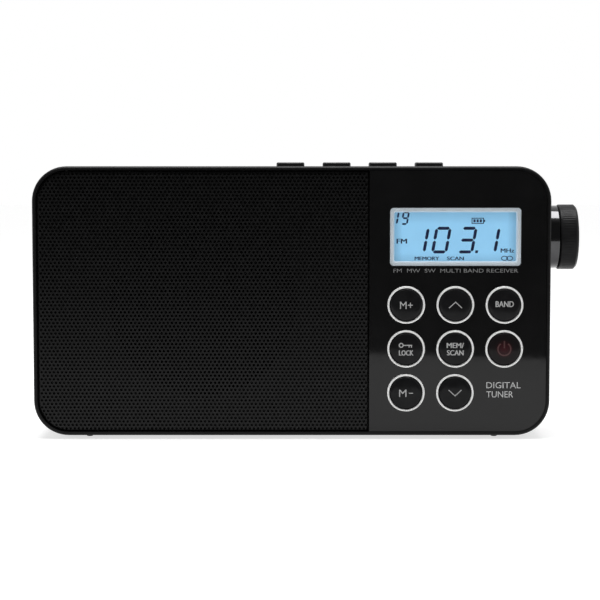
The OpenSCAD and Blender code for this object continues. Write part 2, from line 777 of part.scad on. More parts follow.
module earphone_jack() {
  color("#1f1f21") in_frame() difference() {
    jack_body(earphone_z);
    bar_x(jack_y, earphone_z, -half_w - cut, -half_w + earphone_bore_l, earphone_bore_r);
  }
}

module dc_jack() {
  color("#1f1f21") in_frame() {
    difference() {
      jack_body(dc_z);
      bar_x(jack_y, dc_z, -half_w - cut, -half_w + dc_bore_l, dc_bore_r);
    }
    bar_x(jack_y, dc_z, -half_w + 1, -half_w + dc_bore_l + cut, dc_pin_r);
  }
}

// Cell number i lies along X; odd cells point the other way
module battery_cell(i) {
  flip = i % 2;
  x0 = bay_x0 + contact_t;
  body_x0 = flip == 0 ? x0 + cell_button_l : x0 + spring_l;
  z = bay_z0 + 0.1 + (i + 0.5) * cell_pitch;
  bar_x(cell_y, z, body_x0, body_x0 + cell_l - cell_button_l, cell_d / 2);
  bar_x(cell_y, z, flip == 0 ? x0 : body_x0 + cell_l - cell_button_l,
        flip == 0 ? x0 + cell_button_l : body_x0 + cell_l, 2.7);
}

module battery_cells() {
  color("#3c7a4f") in_frame() for (i = [0:cell_count - 1]) battery_cell(i);
}

// Flat-wound cone spring along +X from x = 0 to x = l
module cone_spring(l, r0, r1, wire_r) {
  turns = 3;
  steps = 16 * turns;
  sides = 6;
  function ring(k) = let (t = k / steps, a = 360 * turns * t, r = r0 + (r1 - r0) * t,
    x = wire_r + (l - 2 * wire_r) * t)
    [for (s = [0:sides - 1]) let (b = 360 * s / sides, q = r + wire_r * cos(b))
      [x + wire_r * sin(b), q * cos(a), q * sin(a)]];
  points = [for (k = [0:steps]) each ring(k)];
  sides_faces = [for (k = [0:steps - 1], s = [0:sides - 1]) let (n = (s + 1) % sides)
    [k * sides + s, (k + 1) * sides + s, (k + 1) * sides + n, k * sides + n]];
  polyhedron(points, concat([[for (s = [0:sides - 1]) s]], sides_faces,
    [[for (s = [sides - 1:-1:0]) steps * sides + s]]), convexity = 6);
}

module battery_springs() {
  color("#c4c6c8") in_frame() for (i = [0:cell_count - 1]) {
    z = bay_z0 + 0.1 + (i + 0.5) * cell_pitch;
    if (i % 2 == 0)
      translate([bay_x1 - contact_t, cell_y, z]) mirror([1, 0, 0]) cone_spring(spring_l, 5, 2.8, 0.45);
    else
      translate([bay_x0 + contact_t, cell_y, z]) cone_spring(spring_l, 5, 2.8, 0.45);
  }
}

module battery_contacts() {
  w = cell_d - 2;
  color("#c4c6c8") in_frame() for (i = [0:cell_count - 1], x = [bay_x0, bay_x1 - contact_t]) {
    z = bay_z0 + 0.1 + (i + 0.5) * cell_pitch;
    block([x, cell_y - w / 2, z - w / 2], [x + contact_t, cell_y + w / 2, z + w / 2]);
  }
}

module case_screws() {
  color("#6e6e6c") in_frame() for (p = case_posts)
    screw_y(p[0], p[1], case_head_y, case_screw_l, case_screw_r, case_head_r, case_head_h);
}

module board_screws() {
  color("#8c8c88") in_frame() {
    for (p = keypad_bosses)
      screw_y(p[0], p[1], keypad_y + board_t, screw_l, screw_r, screw_head_r, screw_head_h);
    for (p = main_bosses)
      screw_y(p[0], p[1], main_back_y, screw_l, screw_r, screw_head_r, screw_head_h);
    for (p = jack_bosses) translate([p[0], jack_board_y, p[1]]) mirror([0, 1, 0])
      screw_y(0, 0, 0, screw_l, screw_r, screw_head_r, screw_head_h);
    for (s = [-1, 1]) translate([top_key_mid + s * top_post_dx, top_key_y, top_board_z]) rotate([-90, 0, 0])
      screw_y(0, 0, 0, screw_l, screw_r, screw_head_r, screw_head_h);
  }
}

module ribbon_cable() {
  z = main_z0 + 24;
  x = control_x - 9;
  plug_t = 1.6;
  color("#cfcfc8") in_frame() {
    block([x - 1, keypad_y + board_t, z - 1.4], [x + 15, keypad_y + board_t + plug_t, z + 1.4]);
    block([x, keypad_y + board_t + plug_t, z - 0.2], [x + 14, main_y - plug_t, z + 0.2]);
    block([x - 1, main_y - plug_t, z - 1.4], [x + 15, main_y, z + 1.4]);
  }
}

// Straight piece of wire between two points, with a bead of solder or insulation at the second
module wire_piece(a, b, r) {
  d = b - a;
  l = norm(d);
  translate(a) rotate([0, acos(d[2] / l), atan2(d[1], d[0])]) cylinder(r = r, h = l, $fn = 16);
  translate(b) sphere(r = 1.2 * r, $fn = 16);
}

// Wire through a list of points
module wire(route, r) {
  for (i = [0:len(route) - 2]) wire_piece(route[i], route[i + 1], r);
}

module hookup_wires() {
  wire_r = 0.6;
  lift = 1.2 * wire_r;
  tag_x = speaker_x + magnet_d / 2 + lift + 0.2;
  tag_y = basket_back_y + plate_t + magnet_t / 2;
  color("#b03a30") in_frame() {
    // Speaker pair
    for (s = [-1, 1])
      wire([[tag_x, tag_y, speaker_z + 3 * s], [main_x0 + 9, tag_y, speaker_z + 3 * s],
            [main_x0 + 9, main_back_y + lift, speaker_z + 3 * s]], wire_r);
    // Battery pair
    for (s = [0, 1])
      wire([[bay_x0 - battery_wall - lift, cell_y, bay_z0 + 10 + 26 * s],
            [bay_x0 - battery_wall - 3, cell_y - 4, bay_z0 + 10 + 26 * s],
            [main_x0 + 5 + 3 * s, main_back_y + 6, bay_z0 + 16 + 3 * s],
            [main_x0 + 5 + 3 * s, main_back_y + lift, bay_z0 + 16 + 3 * s]], wire_r);
    // Antenna lead
    wire([[pivot_x, aerial_y, socket_z - spigot_l - 1.5], [pivot_x, aerial_y, ferrite_z - ferrite_r - 3],
          [main_x0 + 9.5, aerial_y, ferrite_z - ferrite_r - 3],
          [main_x0 + 9.5, aerial_y, main_z1 - 3],
          [main_x0 + 9.5, main_back_y + lift, main_z1 - 3]], wire_r);
  }
}

module antenna_socket() {
  color("#b59a55") in_frame() difference() {
    bar_z(pivot_x, aerial_y, socket_z - spigot_l, socket_z, spigot_r + running_gap + socket_wall);
    bar_z(pivot_x, aerial_y, socket_z - spigot_l - cut, socket_z + cut, spigot_r + running_gap);
  }
}

module volume_shaft() {
  color("#c2c3c5") in_frame()
    bar_x(knob_y, knob_z, side_inner_x - pot_l + 3.5, half_w + knob_reach - knob_skin, shaft_d / 2);
}

module knob_collar() {
  color("#d5d6d8") in_frame() difference() {
    bar_x(knob_y, knob_z, half_w + knob_side_gap, half_w + collar_reach, collar_d / 2);
    bar_x(knob_y, knob_z, half_w, half_w + collar_reach + cut, collar_bore_r);
  }
}

module knob_cap() {
  x0 = half_w + collar_reach;
  x1 = half_w + knob_reach;
  r = knob_d / 2;
  color("#17171a") in_frame() difference() {
    translate([x0, knob_y, knob_z]) rotate([0, 90, 0]) rotate_extrude($fn = 96)
      polygon([[0, 0], [r, 0], [r, x1 - x0 - knob_chamfer], [r - knob_chamfer, x1 - x0],
               [0, x1 - x0]]);
    difference() {
      bar_x(knob_y, knob_z, x0 - cut, x1 - 2 * knob_skin, collar_bore_r);
      bar_x(knob_y, knob_z, x0, x1, hub_r);
    }
    bar_x(knob_y, knob_z, x0 - cut, x1 - knob_skin, shaft_d / 2);
  }
}

// Round push button number i on the front
module front_button(i, c) {
  p = button_places[i];
  y0 = -ring_proud - dome_h;
  color(c) in_frame() {
    intersection() {
      bar_y(p[0], p[1], y0, flange_y, cap_r);
      translate([p[0], y0 + dome_r, p[1]]) sphere(r = dome_r, $fn = 96);
    }
    bar_y(p[0], p[1], flange_y, flange_y + flange_t, flange_r);
    bar_y(p[0], p[1], flange_y + flange_t, stem_end_y, stem_r);
  }
}

// Key number i on the top
module top_key(i) {
  color("#3a3a3c") in_frame() translate([top_key_xs[i], 0, 0]) {
    top_key_prism(top_key_w, top_key_l, key_r, key_flange_z + flange_t, case_h + top_key_proud);
    top_key_prism(top_key_w + 1.6, top_key_l + 1.6, key_r, key_flange_z, key_flange_z + flange_t);
    bar_z(0, top_key_y, key_stem_z, key_flange_z, stem_r);
  }
}

module battery_door() {
  x0 = door_x0 + door_gap;
  x1 = door_x1 - door_gap;
  color("#1b1b1d") in_frame() difference() {
    union() {
      block([x0, case_d - door_t, door_hinge_z], [x1, case_d, door_z1 - door_gap]);
      bar_x(door_hinge_y, door_hinge_z, x0, x1, door_hinge_r);
      bar_x(door_hinge_y, door_hinge_z, door_x0 - door_pin_l + 0.3, door_x1 + door_pin_l - 0.3, door_pin_r);
    }
    for (i = [0:4]) block([(x0 + x1) / 2 - 9, case_d - 0.5, door_z1 - 6 - 2.2 * i],
                          [(x0 + x1) / 2 + 9, case_d + cut, door_z1 - 5 - 2.2 * i]);
  }
}

module antenna_base() {
  color("#c9cbce") in_frame() {
    bar_z(pivot_x, aerial_y, socket_z - spigot_l - 1, disc_top_z - disc_t, spigot_r);
    bar_z(pivot_x, aerial_y, disc_top_z - disc_t, disc_top_z, disc_r);
    intersection() {
      bar_z(pivot_x, aerial_y, disc_top_z - disc_t, case_h, fork_r);
      for (s = [-1, 1]) {
        y0 = aerial_y + s * (tongue_t / 2 + button_gap + ear_t / 2) - ear_t / 2;
        bar_y(pivot_x, aerial_z, y0, y0 + ear_t, ear_r);
        block([pivot_x - ear_r, y0, disc_top_z - disc_t], [pivot_x + ear_r, y0 + ear_t, aerial_z]);
      }
    }
    bar_y(pivot_x, aerial_z, aerial_y - tongue_t / 2 - ear_t, aerial_y + tongue_t / 2 + ear_t, pivot_pin_r);
  }
}

// Bore of antenna tube number i, which the next tube runs in
module tube_bore(i) {
  x0 = i == 0 ? tube_x + tube_plug : tube_starts[i] - cut;
  bar_x(aerial_y, aerial_z, x0, tube_ends[i] + cut, tube_rs[i + 1] + running_gap);
}

module antenna_tube_1() {
  color("#d3d5d8") in_frame() difference() {
    union() {
      bar_x(aerial_y, aerial_z, tube_x, tube_ends[0], tube_rs[0]);
      bar_y(pivot_x, aerial_z, aerial_y - tongue_t / 2, aerial_y + tongue_t / 2, tongue_r);
      block([pivot_x, aerial_y - tongue_t / 2, aerial_z - tongue_r], [tube_x, aerial_y + tongue_t / 2, aerial_z + tongue_r]);
    }
    bar_y(pivot_x, aerial_z, aerial_y - tongue_t, aerial_y + tongue_t, pivot_pin_r + running_gap);
    tube_bore(0);
  }
}

// Middle tube number i of the antenna
module antenna_tube(i) {
  color("#d3d5d8") in_frame() difference() {
    bar_x(aerial_y, aerial_z, tube_starts[i], tube_ends[i], tube_rs[i]);
    tube_bore(i);
  }
}

module antenna_tip() {
  color("#d3d5d8") in_frame() {
    bar_x(aerial_y, aerial_z, tube_starts[4], tube_ends[4], tube_rs[4]);
    bar_x(aerial_y, aerial_z, tube_ends[4], tube_ends[4] + tip_l, tip_r);
  }
}

front_shell();
rear_shell();
speaker_grille();
control_fascia();
display_window();
display_frame();
lcd_panel();
backlight_plate();
button_rings();
foot_strips();
keypad_board();
tact_switches();
top_key_board();
main_board();
tuner_shield();
board_chips();
board_capacitors();
speaker_basket();
speaker_cone();
speaker_magnet();
speaker_gasket();
speaker_screws();
ferrite_rod();
ferrite_coils();
ferrite_clips();
volume_pot();
pot_nut();
jack_board();
earphone_jack();
dc_jack();
battery_cells();
battery_springs();
battery_contacts();
case_screws();
board_screws();
ribbon_cable();
hookup_wires();
antenna_socket();
volume_shaft();
knob_collar();
knob_cap();
front_button(0, "#202024");  // button_memory_up
front_button(1, "#202024");  // button_tune_up
front_button(2, "#202024");  // button_band
front_button(3, "#202024");  // button_lock
front_button(4, "#202024");  // button_scan
front_button(5, "#2a2022");  // button_power
front_button(6, "#202024");  // button_memory_down
front_button(7, "#202024");  // button_tune_down
top_key(0);  // top_key_1
top_key(1);  // top_key_2
top_key(2);  // top_key_3
top_key(3);  // top_key_4
battery_door();
antenna_base();
antenna_tube_1();
antenna_tube(1);  // antenna_tube_2
antenna_tube(2);  // antenna_tube_3
antenna_tube(3);  // antenna_tube_4
antenna_tip();
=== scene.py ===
"""The looks of a tabletop radio: visible surfaces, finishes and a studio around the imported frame."""

import bmesh
import bpy
import numpy as np
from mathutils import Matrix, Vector


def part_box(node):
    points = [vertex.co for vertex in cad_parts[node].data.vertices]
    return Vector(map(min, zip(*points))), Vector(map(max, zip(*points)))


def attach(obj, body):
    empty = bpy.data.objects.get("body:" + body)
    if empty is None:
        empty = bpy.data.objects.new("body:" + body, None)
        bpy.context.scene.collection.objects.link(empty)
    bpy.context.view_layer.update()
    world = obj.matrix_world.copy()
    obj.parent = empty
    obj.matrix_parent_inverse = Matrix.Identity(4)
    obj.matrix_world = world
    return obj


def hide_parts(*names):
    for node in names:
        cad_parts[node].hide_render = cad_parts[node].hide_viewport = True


bl_info = {
    "name": "Tabletop Radio Looks",
    "version": (1, 0, 0),
    "blender": (4, 5, 0),
    "location": "View3D > Sidebar > Radio",
    "description": "Builds the visible surfaces, finishes and studio of a tabletop radio",
    "category": "Object",
}

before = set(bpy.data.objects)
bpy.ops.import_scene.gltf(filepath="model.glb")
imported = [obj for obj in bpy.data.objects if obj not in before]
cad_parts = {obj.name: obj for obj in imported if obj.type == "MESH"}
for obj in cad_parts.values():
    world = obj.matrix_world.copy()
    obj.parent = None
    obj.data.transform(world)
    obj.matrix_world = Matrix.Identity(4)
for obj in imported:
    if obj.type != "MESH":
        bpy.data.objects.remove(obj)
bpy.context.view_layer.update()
MM = 0.001
X, Y, Z = np.eye(3)

# Where right and up lie for someone who faces a side of the case.
FACING_FRONT = (X, Z)
FACING_LEFT = (-Y, Z)
FACING_BACK = (-X, Z)

CREASE = np.radians(35.0)
MERGE = 1e-7
# Nearly all of a noise's values lie between these two.
NOISE_LOW, NOISE_HIGH = 0.3, 0.7
FRONT_BUTTONS = ("memory_up", "tune_up", "band", "lock", "scan", "power", "memory_down", "tune_down")
TOP_KEYS = 4
TUBES = 4


# ---------------------------------------------------------------- surfaces


def low_high(node):
    """The corners of a node's box, in millimetres."""
    low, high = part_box(node)
    return np.array(low) / MM, np.array(high) / MM


def middle(node):
    """The centre of a node's box, in millimetres."""
    low, high = low_high(node)
    return (low + high) / 2


def grid(points):
    """Quads between neighbouring rows of points[row, column]; every row closes on itself."""
    rows, columns = points.shape[:2]
    here = np.arange(rows * columns).reshape(rows, columns)
    right = np.roll(here, -1, axis=1)
    quads = np.stack([here[:-1], right[:-1], right[1:], here[1:]], axis=-1)
    return points.reshape(-1, 3), quads.reshape(-1, 4).tolist()


def capped(points):
    """A grid of closed rows with one flat face over its first row and one over its last."""
    corners, faces = grid(points)
    rows, columns = points.shape[:2]
    first = np.arange(columns)[::-1].tolist()
    last = ((rows - 1) * columns + np.arange(columns)).tolist()
    return corners, faces + [first, last]


def joined(shapes):
    """Several shapes as one, each one's faces counted on from the points before it."""
    points, faces, start = [], [], 0
    for corners, polygons in shapes:
        points.append(corners)
        faces += [[start + i for i in polygon] for polygon in polygons]
        start += len(corners)
    return np.concatenate(points), faces


def moved(shape, x=0.0, y=0.0, z=0.0):
    """A shape shifted by x, y and z."""
    points, faces = shape
    return points + (x, y, z), faces


def stood(shape, origin, facing):
    """A shape drawn as (right, up, proud), stood at origin on a face seen along facing."""
    points, faces = shape
    right, up = facing
    return np.asarray(origin) + points @ np.stack([right, up, np.cross(right, up)]), faces


def rounded(corners, radii, steps=6):
    """A polyline with arcs for corners: each arc leaves the sides where its circle touches them."""
    corners = np.asarray(corners, float)
    line = [corners[:1]]
    for before, corner, after, radius in zip(corners, corners[1:], corners[2:], radii):
        if radius <= 0:
            line.append(corner[None])
            continue
        back = (before - corner) / np.linalg.norm(before - corner)
        ahead = (after - corner) / np.linalg.norm(after - corner)
        half = np.arccos(np.clip(back @ ahead, -1, 1)) / 2
        middle_way = (back + ahead) / np.linalg.norm(back + ahead)
        centre = corner + middle_way * radius / np.sin(half)
        start = corner + back * radius / np.tan(half) - centre
        stop = corner + ahead * radius / np.tan(half) - centre
        swing = np.linspace(0, 1, steps)[:, None]
        span = np.pi - 2 * half
        arc = (np.sin((1 - swing) * span) * start + np.sin(swing * span) * stop) / np.sin(span)
        line.append(centre + arc)
    line.append(corners[-1:])
    return np.concatenate(line)


def revolved(profile, centre, axis, steps=96, ripple=None):
    """A profile of (radius, place along the axis) turned once round the axis through centre.
    ripple(turn, row radius) gives what is taken off the radius at each angle, as flutes do."""
    radius, along = np.asarray(profile, float).T
    turn = np.linspace(0, 2 * np.pi, steps, endpoint=False)
    spread = np.repeat(radius[:, None], steps, axis=1)
    if ripple is not None:
        spread = spread - ripple(turn[None, :], radius[:, None], along[:, None])
    points = np.zeros((len(radius), steps, 3))
    points[..., axis] = along[:, None]
    points[..., (axis + 1) % 3] = spread * np.cos(turn)
    points[..., (axis + 2) % 3] = spread * np.sin(turn)
    return grid(points + np.asarray(centre, float))


def circle(radius, turn):
    """Points on a circle about the origin, one for each angle."""
    return radius * np.stack([np.cos(turn), np.sin(turn)], axis=-1)


def raised(points, height):
    """Flat points as points in space, all at one height."""
    return np.column_stack([points, np.full(len(points), height)])


def outline(width, height, radius, steps=8):
    """A rounded rectangle about the origin: four quarter circles, each about a corner's centre."""
    turn = np.linspace(0, np.pi / 2, steps)
    quarter = np.arange(4)[:, None] * np.pi / 2 + turn
    side = np.array([[1, 1], [-1, 1], [-1, -1], [1, -1]])[:, None, :]
    core = side * (width / 2 - radius, height / 2 - radius)
    return (core + circle(radius, quarter)).reshape(-1, 2)


def block(width, height, radius, profile, steps=8):
    """A block with a rounded outline that shrinks by the inset of each (inset, height) of its profile."""
    least = 0.05
    rings = []
    for inset, proud in profile:
        ring = outline(width - 2 * inset, height - 2 * inset, max(radius - inset, least), steps)
        rings.append(raised(ring, proud))
    return capped(np.stack(rings))


def prism(polygon, thickness):
    """A flat polygon with a thickness, from its own plane outwards."""
    polygon = np.asarray(polygon, float)
    return capped(np.stack([raised(polygon, 0), raised(polygon, thickness)]))


def bar(start, stop, width, thickness):
    """A straight bar with pointed ends, from start to stop."""
    start, stop = np.asarray(start, float), np.asarray(stop, float)
    along = (stop - start) / np.linalg.norm(stop - start) * width / 2
    across = np.array([-along[1], along[0]])
    corners = [start, start + along - across, stop - along - across, stop, stop - along + across,
               start + along + across]
    return prism(corners, thickness)


def ribbon(path, width, thickness, closed=False):
    """A band of even width along a path: each point steps sideways by half the width, both ways."""
    path = np.asarray(path, float)
    if closed:
        ahead = np.roll(path, -1, axis=0) - path
        behind = path - np.roll(path, 1, axis=0)
    else:
        steps = np.diff(path, axis=0)
        ahead = np.concatenate([steps, steps[-1:]])
        behind = np.concatenate([steps[:1], steps])
    ahead = ahead / np.linalg.norm(ahead, axis=1, keepdims=True)
    behind = behind / np.linalg.norm(behind, axis=1, keepdims=True)
    tangent = ahead + behind
    tangent /= np.linalg.norm(tangent, axis=1, keepdims=True)
    reach = width / 2 / np.sum(tangent * ahead, axis=1, keepdims=True)
    side = np.column_stack([-tangent[:, 1], tangent[:, 0]]) * reach
    corners = ((-1, 0), (1, 0), (1, thickness), (-1, thickness))
    rows = np.stack([raised(path + way * side, height) for way, height in corners], axis=1)
    return grid(np.concatenate([rows, rows[:1]])) if closed else capped(rows)


def even_steps(path, step=0.4):
    """A path with points added on its straight stretches, so that it can follow a dome."""
    path = np.asarray(path, float)
    pieces = []
    for start, stop in zip(path, path[1:]):
        count = max(int(np.ceil(np.linalg.norm(stop - start) / step)), 1)
        pieces.append(start + (stop - start) * np.linspace(0, 1, count, endpoint=False)[:, None])
    return np.concatenate([*pieces, path[-1:]])


def arc(radius, start, stop, steps=32):
    """Points on a circle about the origin, between two angles in degrees."""
    return circle(radius, np.radians(np.linspace(start, stop, steps)))


def lettering(words, height, width=None, weight=0.0, thickness=0.012):
    """Plain letters centred on the origin, with capitals of the given height, squeezed to the given
    width. Bold ones are the same letters twice, weight apart, the second a little thicker."""
    curve = bpy.data.curves.new("letters", "FONT")
    curve.body = words
    curve.resolution_u = 3
    letters = bpy.data.objects.new("letters", curve)
    mesh = letters.to_mesh()
    points = np.zeros(len(mesh.vertices) * 3)
    mesh.vertices.foreach_get("co", points)
    points = points.reshape(-1, 3)[:, :2]
    faces = [list(polygon.vertices) for polygon in mesh.polygons]
    letters.to_mesh_clear()
    bpy.data.objects.remove(letters)
    bpy.data.curves.remove(curve)
    low, high = points.min(0), points.max(0)
    tall = height / (high[1] - low[1])
    wide = tall if width is None else width / (high[0] - low[0])
    points = (points - (low + high) / 2) * (wide, tall)
    letter = thickened(points, faces, thickness)
    if weight == 0:
        return letter
    thicker = 1.4
    bolder = thickened(points, faces, thicker * thickness)
    return joined([moved(letter, -weight / 2), moved(bolder, weight / 2)])


def thickened(points, faces, thickness):
    """Flat faces made a closed solid: a back, a front, and a wall along every edge of only one face."""
    edges = np.array([(a, b) for face in faces for a, b in zip(face, face[1:] + face[:1])])
    _, index, count = np.unique(np.sort(edges, axis=1), axis=0, return_index=True, return_counts=True)
    rim = edges[index[count == 1]]
    size = len(points)
    walls = np.column_stack([rim, rim[:, ::-1] + size]).tolist()
    behind = [face[::-1] for face in faces]
    before = [[i + size for i in face] for face in faces]
    return np.concatenate([raised(points, 0), raised(points, thickness)]), behind + before + walls


def make_piece(name, shape, finish, body, stands_for=(), closed=True):
    """One finished object with its place in its mesh: doubles merged, faces outwards where it is closed,
    smooth up to the crease angle. Its finish is its one material."""
    points, faces = shape
    mesh = bpy.data.meshes.new(name)
    mesh.from_pydata((points * MM).tolist(), [], faces)
    shell = bmesh.new()
    shell.from_mesh(mesh)
    bmesh.ops.remove_doubles(shell, verts=shell.verts, dist=MERGE)
    bmesh.ops.dissolve_degenerate(shell, edges=shell.edges, dist=MERGE)
    if closed:
        bmesh.ops.recalc_face_normals(shell, faces=shell.faces)
    shell.to_mesh(mesh)
    shell.free()
    mesh.shade_smooth()
    mesh.set_sharp_from_angle(angle=CREASE)
    mesh.materials.append(bpy.data.materials[finish])
    piece = bpy.data.objects.new(name, mesh)
    bpy.context.scene.collection.objects.link(piece)
    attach(piece, body)
    if stands_for:
        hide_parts(*stands_for)


# ---------------------------------------------------------------- finishes


def set_inputs(node, **values):
    """Sets inputs of a node by their names, with an underscore for a space."""
    for socket, value in values.items():
        node.inputs[socket.replace("_", " ")].default_value = value


class Finish:
    """A procedural material: nodes on Object coordinates that end in one Principled shader."""

    def __init__(self, name, **sockets):
        self.material = bpy.data.materials.new(name)
        self.material.use_nodes = True
        self.tree = self.material.node_tree
        self.shader = self.tree.nodes["Principled BSDF"]
        self.place = self.node("ShaderNodeTexCoord").outputs["Object"]
        set_inputs(self.shader, **sockets)

    def node(self, kind, **settings):
        """A new node with its settings."""
        made = self.tree.nodes.new(kind)
        for key, value in settings.items():
            setattr(made, key, value)
        return made

    def link(self, source, target):
        """A wire from an output to an input."""
        self.tree.links.new(source, target)

    def stretched(self, scale, turn=(0, 0, 0)):
        """Object coordinates stretched along the axes, so that a pattern runs as a grain."""
        mapping = self.node("ShaderNodeMapping")
        set_inputs(mapping, Scale=scale, Rotation=turn)
        self.link(self.place, mapping.inputs["Vector"])
        return mapping.outputs["Vector"]

    def noise(self, size, detail=3.0, place=None):
        """Noise whose blotches are about size millimetres across."""
        made = self.node("ShaderNodeTexNoise")
        set_inputs(made, Scale=1 / (size * MM), Detail=detail)
        self.link(place or self.place, made.inputs["Vector"])
        return made.outputs["Fac"]

    def ramp(self, factor, stops):
        """Colours blended along a factor: stops are (place, colour)."""
        made = self.node("ShaderNodeValToRGB")
        elements = made.color_ramp.elements
        while len(elements) < len(stops):
            elements.new(0.5)
        for element, (place, colour) in zip(elements, stops):
            element.position = place
            element.color = (*colour, 1)
        self.link(factor, made.inputs["Fac"])
        return made.outputs["Color"]

    def tone(self, colour, contrast, factor):
        """The base colour, a little darker and lighter along a factor."""
        dark = tuple(c * (1 - contrast) for c in colour)
        light = tuple(min(c * (1 + contrast), 1) for c in colour)
        shade = self.ramp(factor, [(NOISE_LOW, dark), (NOISE_HIGH, light)])
        self.link(shade, self.shader.inputs["Base Color"])

    def roughness(self, value, spread, factor):
        """Roughness that wanders about its value along a factor."""
        made = self.node("ShaderNodeMapRange")
        set_inputs(made, From_Min=NOISE_LOW, From_Max=NOISE_HIGH,
                   To_Min=value - spread, To_Max=value + spread)
        self.link(factor, made.inputs["Value"])
        self.link(made.outputs["Result"], self.shader.inputs["Roughness"])

    def relief(self, depth, factor, strength=1.0):
        """Small hills and hollows of a depth in millimetres."""
        made = self.node("ShaderNodeBump")
        set_inputs(made, Distance=depth * MM, Strength=strength)
        self.link(factor, made.inputs["Height"])
        self.link(made.outputs["Normal"], self.shader.inputs["Normal"])


def grained(name, colour, roughness, grain=0.5, contrast=0.12, spread=0.06, depth=0.01, **sockets):
    """A plain finish with a fine grain: tone and roughness wander, and the surface is uneven."""
    made = Finish(name, **sockets)
    made.tone(colour, contrast, made.noise(grain * 6))
    made.roughness(roughness, spread, made.noise(grain * 9, 2.0))
    made.relief(depth, made.noise(grain, 2.0))
    return made.material


def brushed(name, colour, roughness, scale, **sockets):
    """Metal with fine scratches that run along the axis of the smallest scale."""
    made = Finish(name, Metallic=1.0, **sockets)
    scratches = made.noise(0.25, 3.0, made.stretched(scale))
    made.tone(colour, 0.08, scratches)
    made.roughness(roughness, 0.07, scratches)
    made.relief(0.003, scratches, 0.5)
    return made.material


def case_plastic(colours):
    """Black moulded plastic with a fine spark texture, its gloss wandering a little at random."""
    made = Finish("case_plastic", Specular_IOR_Level=0.14)
    made.tone(colours.case_black, 0.12, made.noise(2.0))
    made.roughness(0.42, 0.015, made.noise(1.2, 2.0))
    made.relief(0.012, made.noise(0.28, 2.0), 0.6)
    return made.material


def grille_metal(colours):
    """Black lacquer on pressed steel, slightly mottled."""
    made = Finish("grille_metal", Specular_IOR_Level=0.22)
    made.tone(colours.grille_black, 0.3, made.noise(3.0))
    made.roughness(0.36, 0.06, made.noise(1.6, 2.0))
    made.relief(0.004, made.noise(0.2, 2.0), 0.4)
    return made.material


def fascia_gloss(colours):
    """Piano black: a deep base under a mirror skin with a faint long wave."""
    made = Finish("fascia_gloss", IOR=1.36)
    made.tone(colours.fascia_black, 0.2, made.noise(12.0))
    made.roughness(0.05, 0.015, made.noise(2.5, 2.0))
    made.relief(0.004, made.noise(14.0, 1.0), 0.3)
    return made.material


def power_gloss(colours):
    """Black gloss with a dim red light behind it, which fades away from the button's middle."""
    made = Finish("power_gloss", IOR=1.2)
    spot = made.node("ShaderNodeMapping", vector_type="TEXTURE")
    reach = 5.5 * MM
    set_inputs(spot, Location=middle("button_power") * MM, Scale=(reach, reach, reach))
    made.link(made.place, spot.inputs["Vector"])
    fade = made.node("ShaderNodeTexGradient", gradient_type="QUADRATIC_SPHERE")
    made.link(spot.outputs["Vector"], fade.inputs["Vector"])
    black = colours.power_black
    made.link(made.ramp(fade.outputs["Fac"], [(0.02, black), (0.22, colours.power_red), (0.6, black)]),
              made.shader.inputs["Base Color"])
    made.roughness(0.12, 0.03, made.noise(4.5))
    made.relief(0.001, made.noise(0.5, 2.0))
    return made.material


def display_clear():
    """Clear moulded acrylic with a trace of haze."""
    made = Finish("display_clear", Transmission_Weight=1.0, IOR=1.46)
    made.tone((0.97, 0.98, 0.985), 0.01, made.noise(6.0))
    made.roughness(0.03, 0.01, made.noise(3.0))
    return made.material


def lcd_blue(colours):
    """A lit blue panel: it dims towards its edges, and its light guide is faintly cloudy."""
    made = Finish("lcd_blue", Emission_Strength=1.0, Roughness=0.5)
    low, high = low_high("display_window")
    split = made.node("ShaderNodeSeparateXYZ")
    made.link(made.place, split.inputs["Vector"])
    blue = np.array(colours.display_blue)
    edges = {"X": [(0.03, 0.6), (0.1, 1.0), (0.9, 1.0), (0.97, 0.6)],
             "Z": [(0.06, 0.75), (0.22, 1.0), (0.72, 1.0), (0.94, 0.66)]}
    glow = made.ramp(made.noise(7.0, 2.0), [(0.35, blue * (0.96, 0.97, 0.98)), (0.65, blue)])
    for axis, (letter, stops) in zip((0, 2), edges.items()):
        across = made.node("ShaderNodeMapRange")
        set_inputs(across, From_Min=low[axis] * MM, From_Max=high[axis] * MM)
        made.link(split.outputs[letter], across.inputs["Value"])
        blend = made.node("ShaderNodeMix", data_type="RGBA", blend_type="MULTIPLY")
        set_inputs(blend, Factor=1.0)
        made.link(glow, blend.inputs["A"])
        made.link(made.ramp(across.outputs["Result"], [(at, (share,) * 3) for at, share in stops]),
                  blend.inputs["B"])
        glow = blend.outputs["Result"]
    made.link(glow, made.shader.inputs["Emission Color"])
    made.tone(tuple(blue * 0.25), 0.05, made.noise(3.0))
    return made.material


def board_green():
    """A printed board: green lacquer over a pattern of tracks."""
    made = Finish("board_green", Roughness=0.35)
    tracks = made.node("ShaderNodeTexBrick", offset=0.5)
    set_inputs(tracks, Scale=140, Color1=(0.012, 0.11, 0.04, 1), Color2=(0.018, 0.15, 0.055, 1),
               Mortar=(0.03, 0.22, 0.08, 1), Mortar_Size=0.03)
    made.link(made.stretched((1, 1, 1), (np.pi / 2, 0, 0)), tracks.inputs["Vector"])
    made.link(tracks.outputs["Color"], made.shader.inputs["Base Color"])
    made.relief(0.03, tracks.outputs["Fac"], 0.5)
    made.roughness(0.35, 0.08, made.noise(2.0))
    return made.material


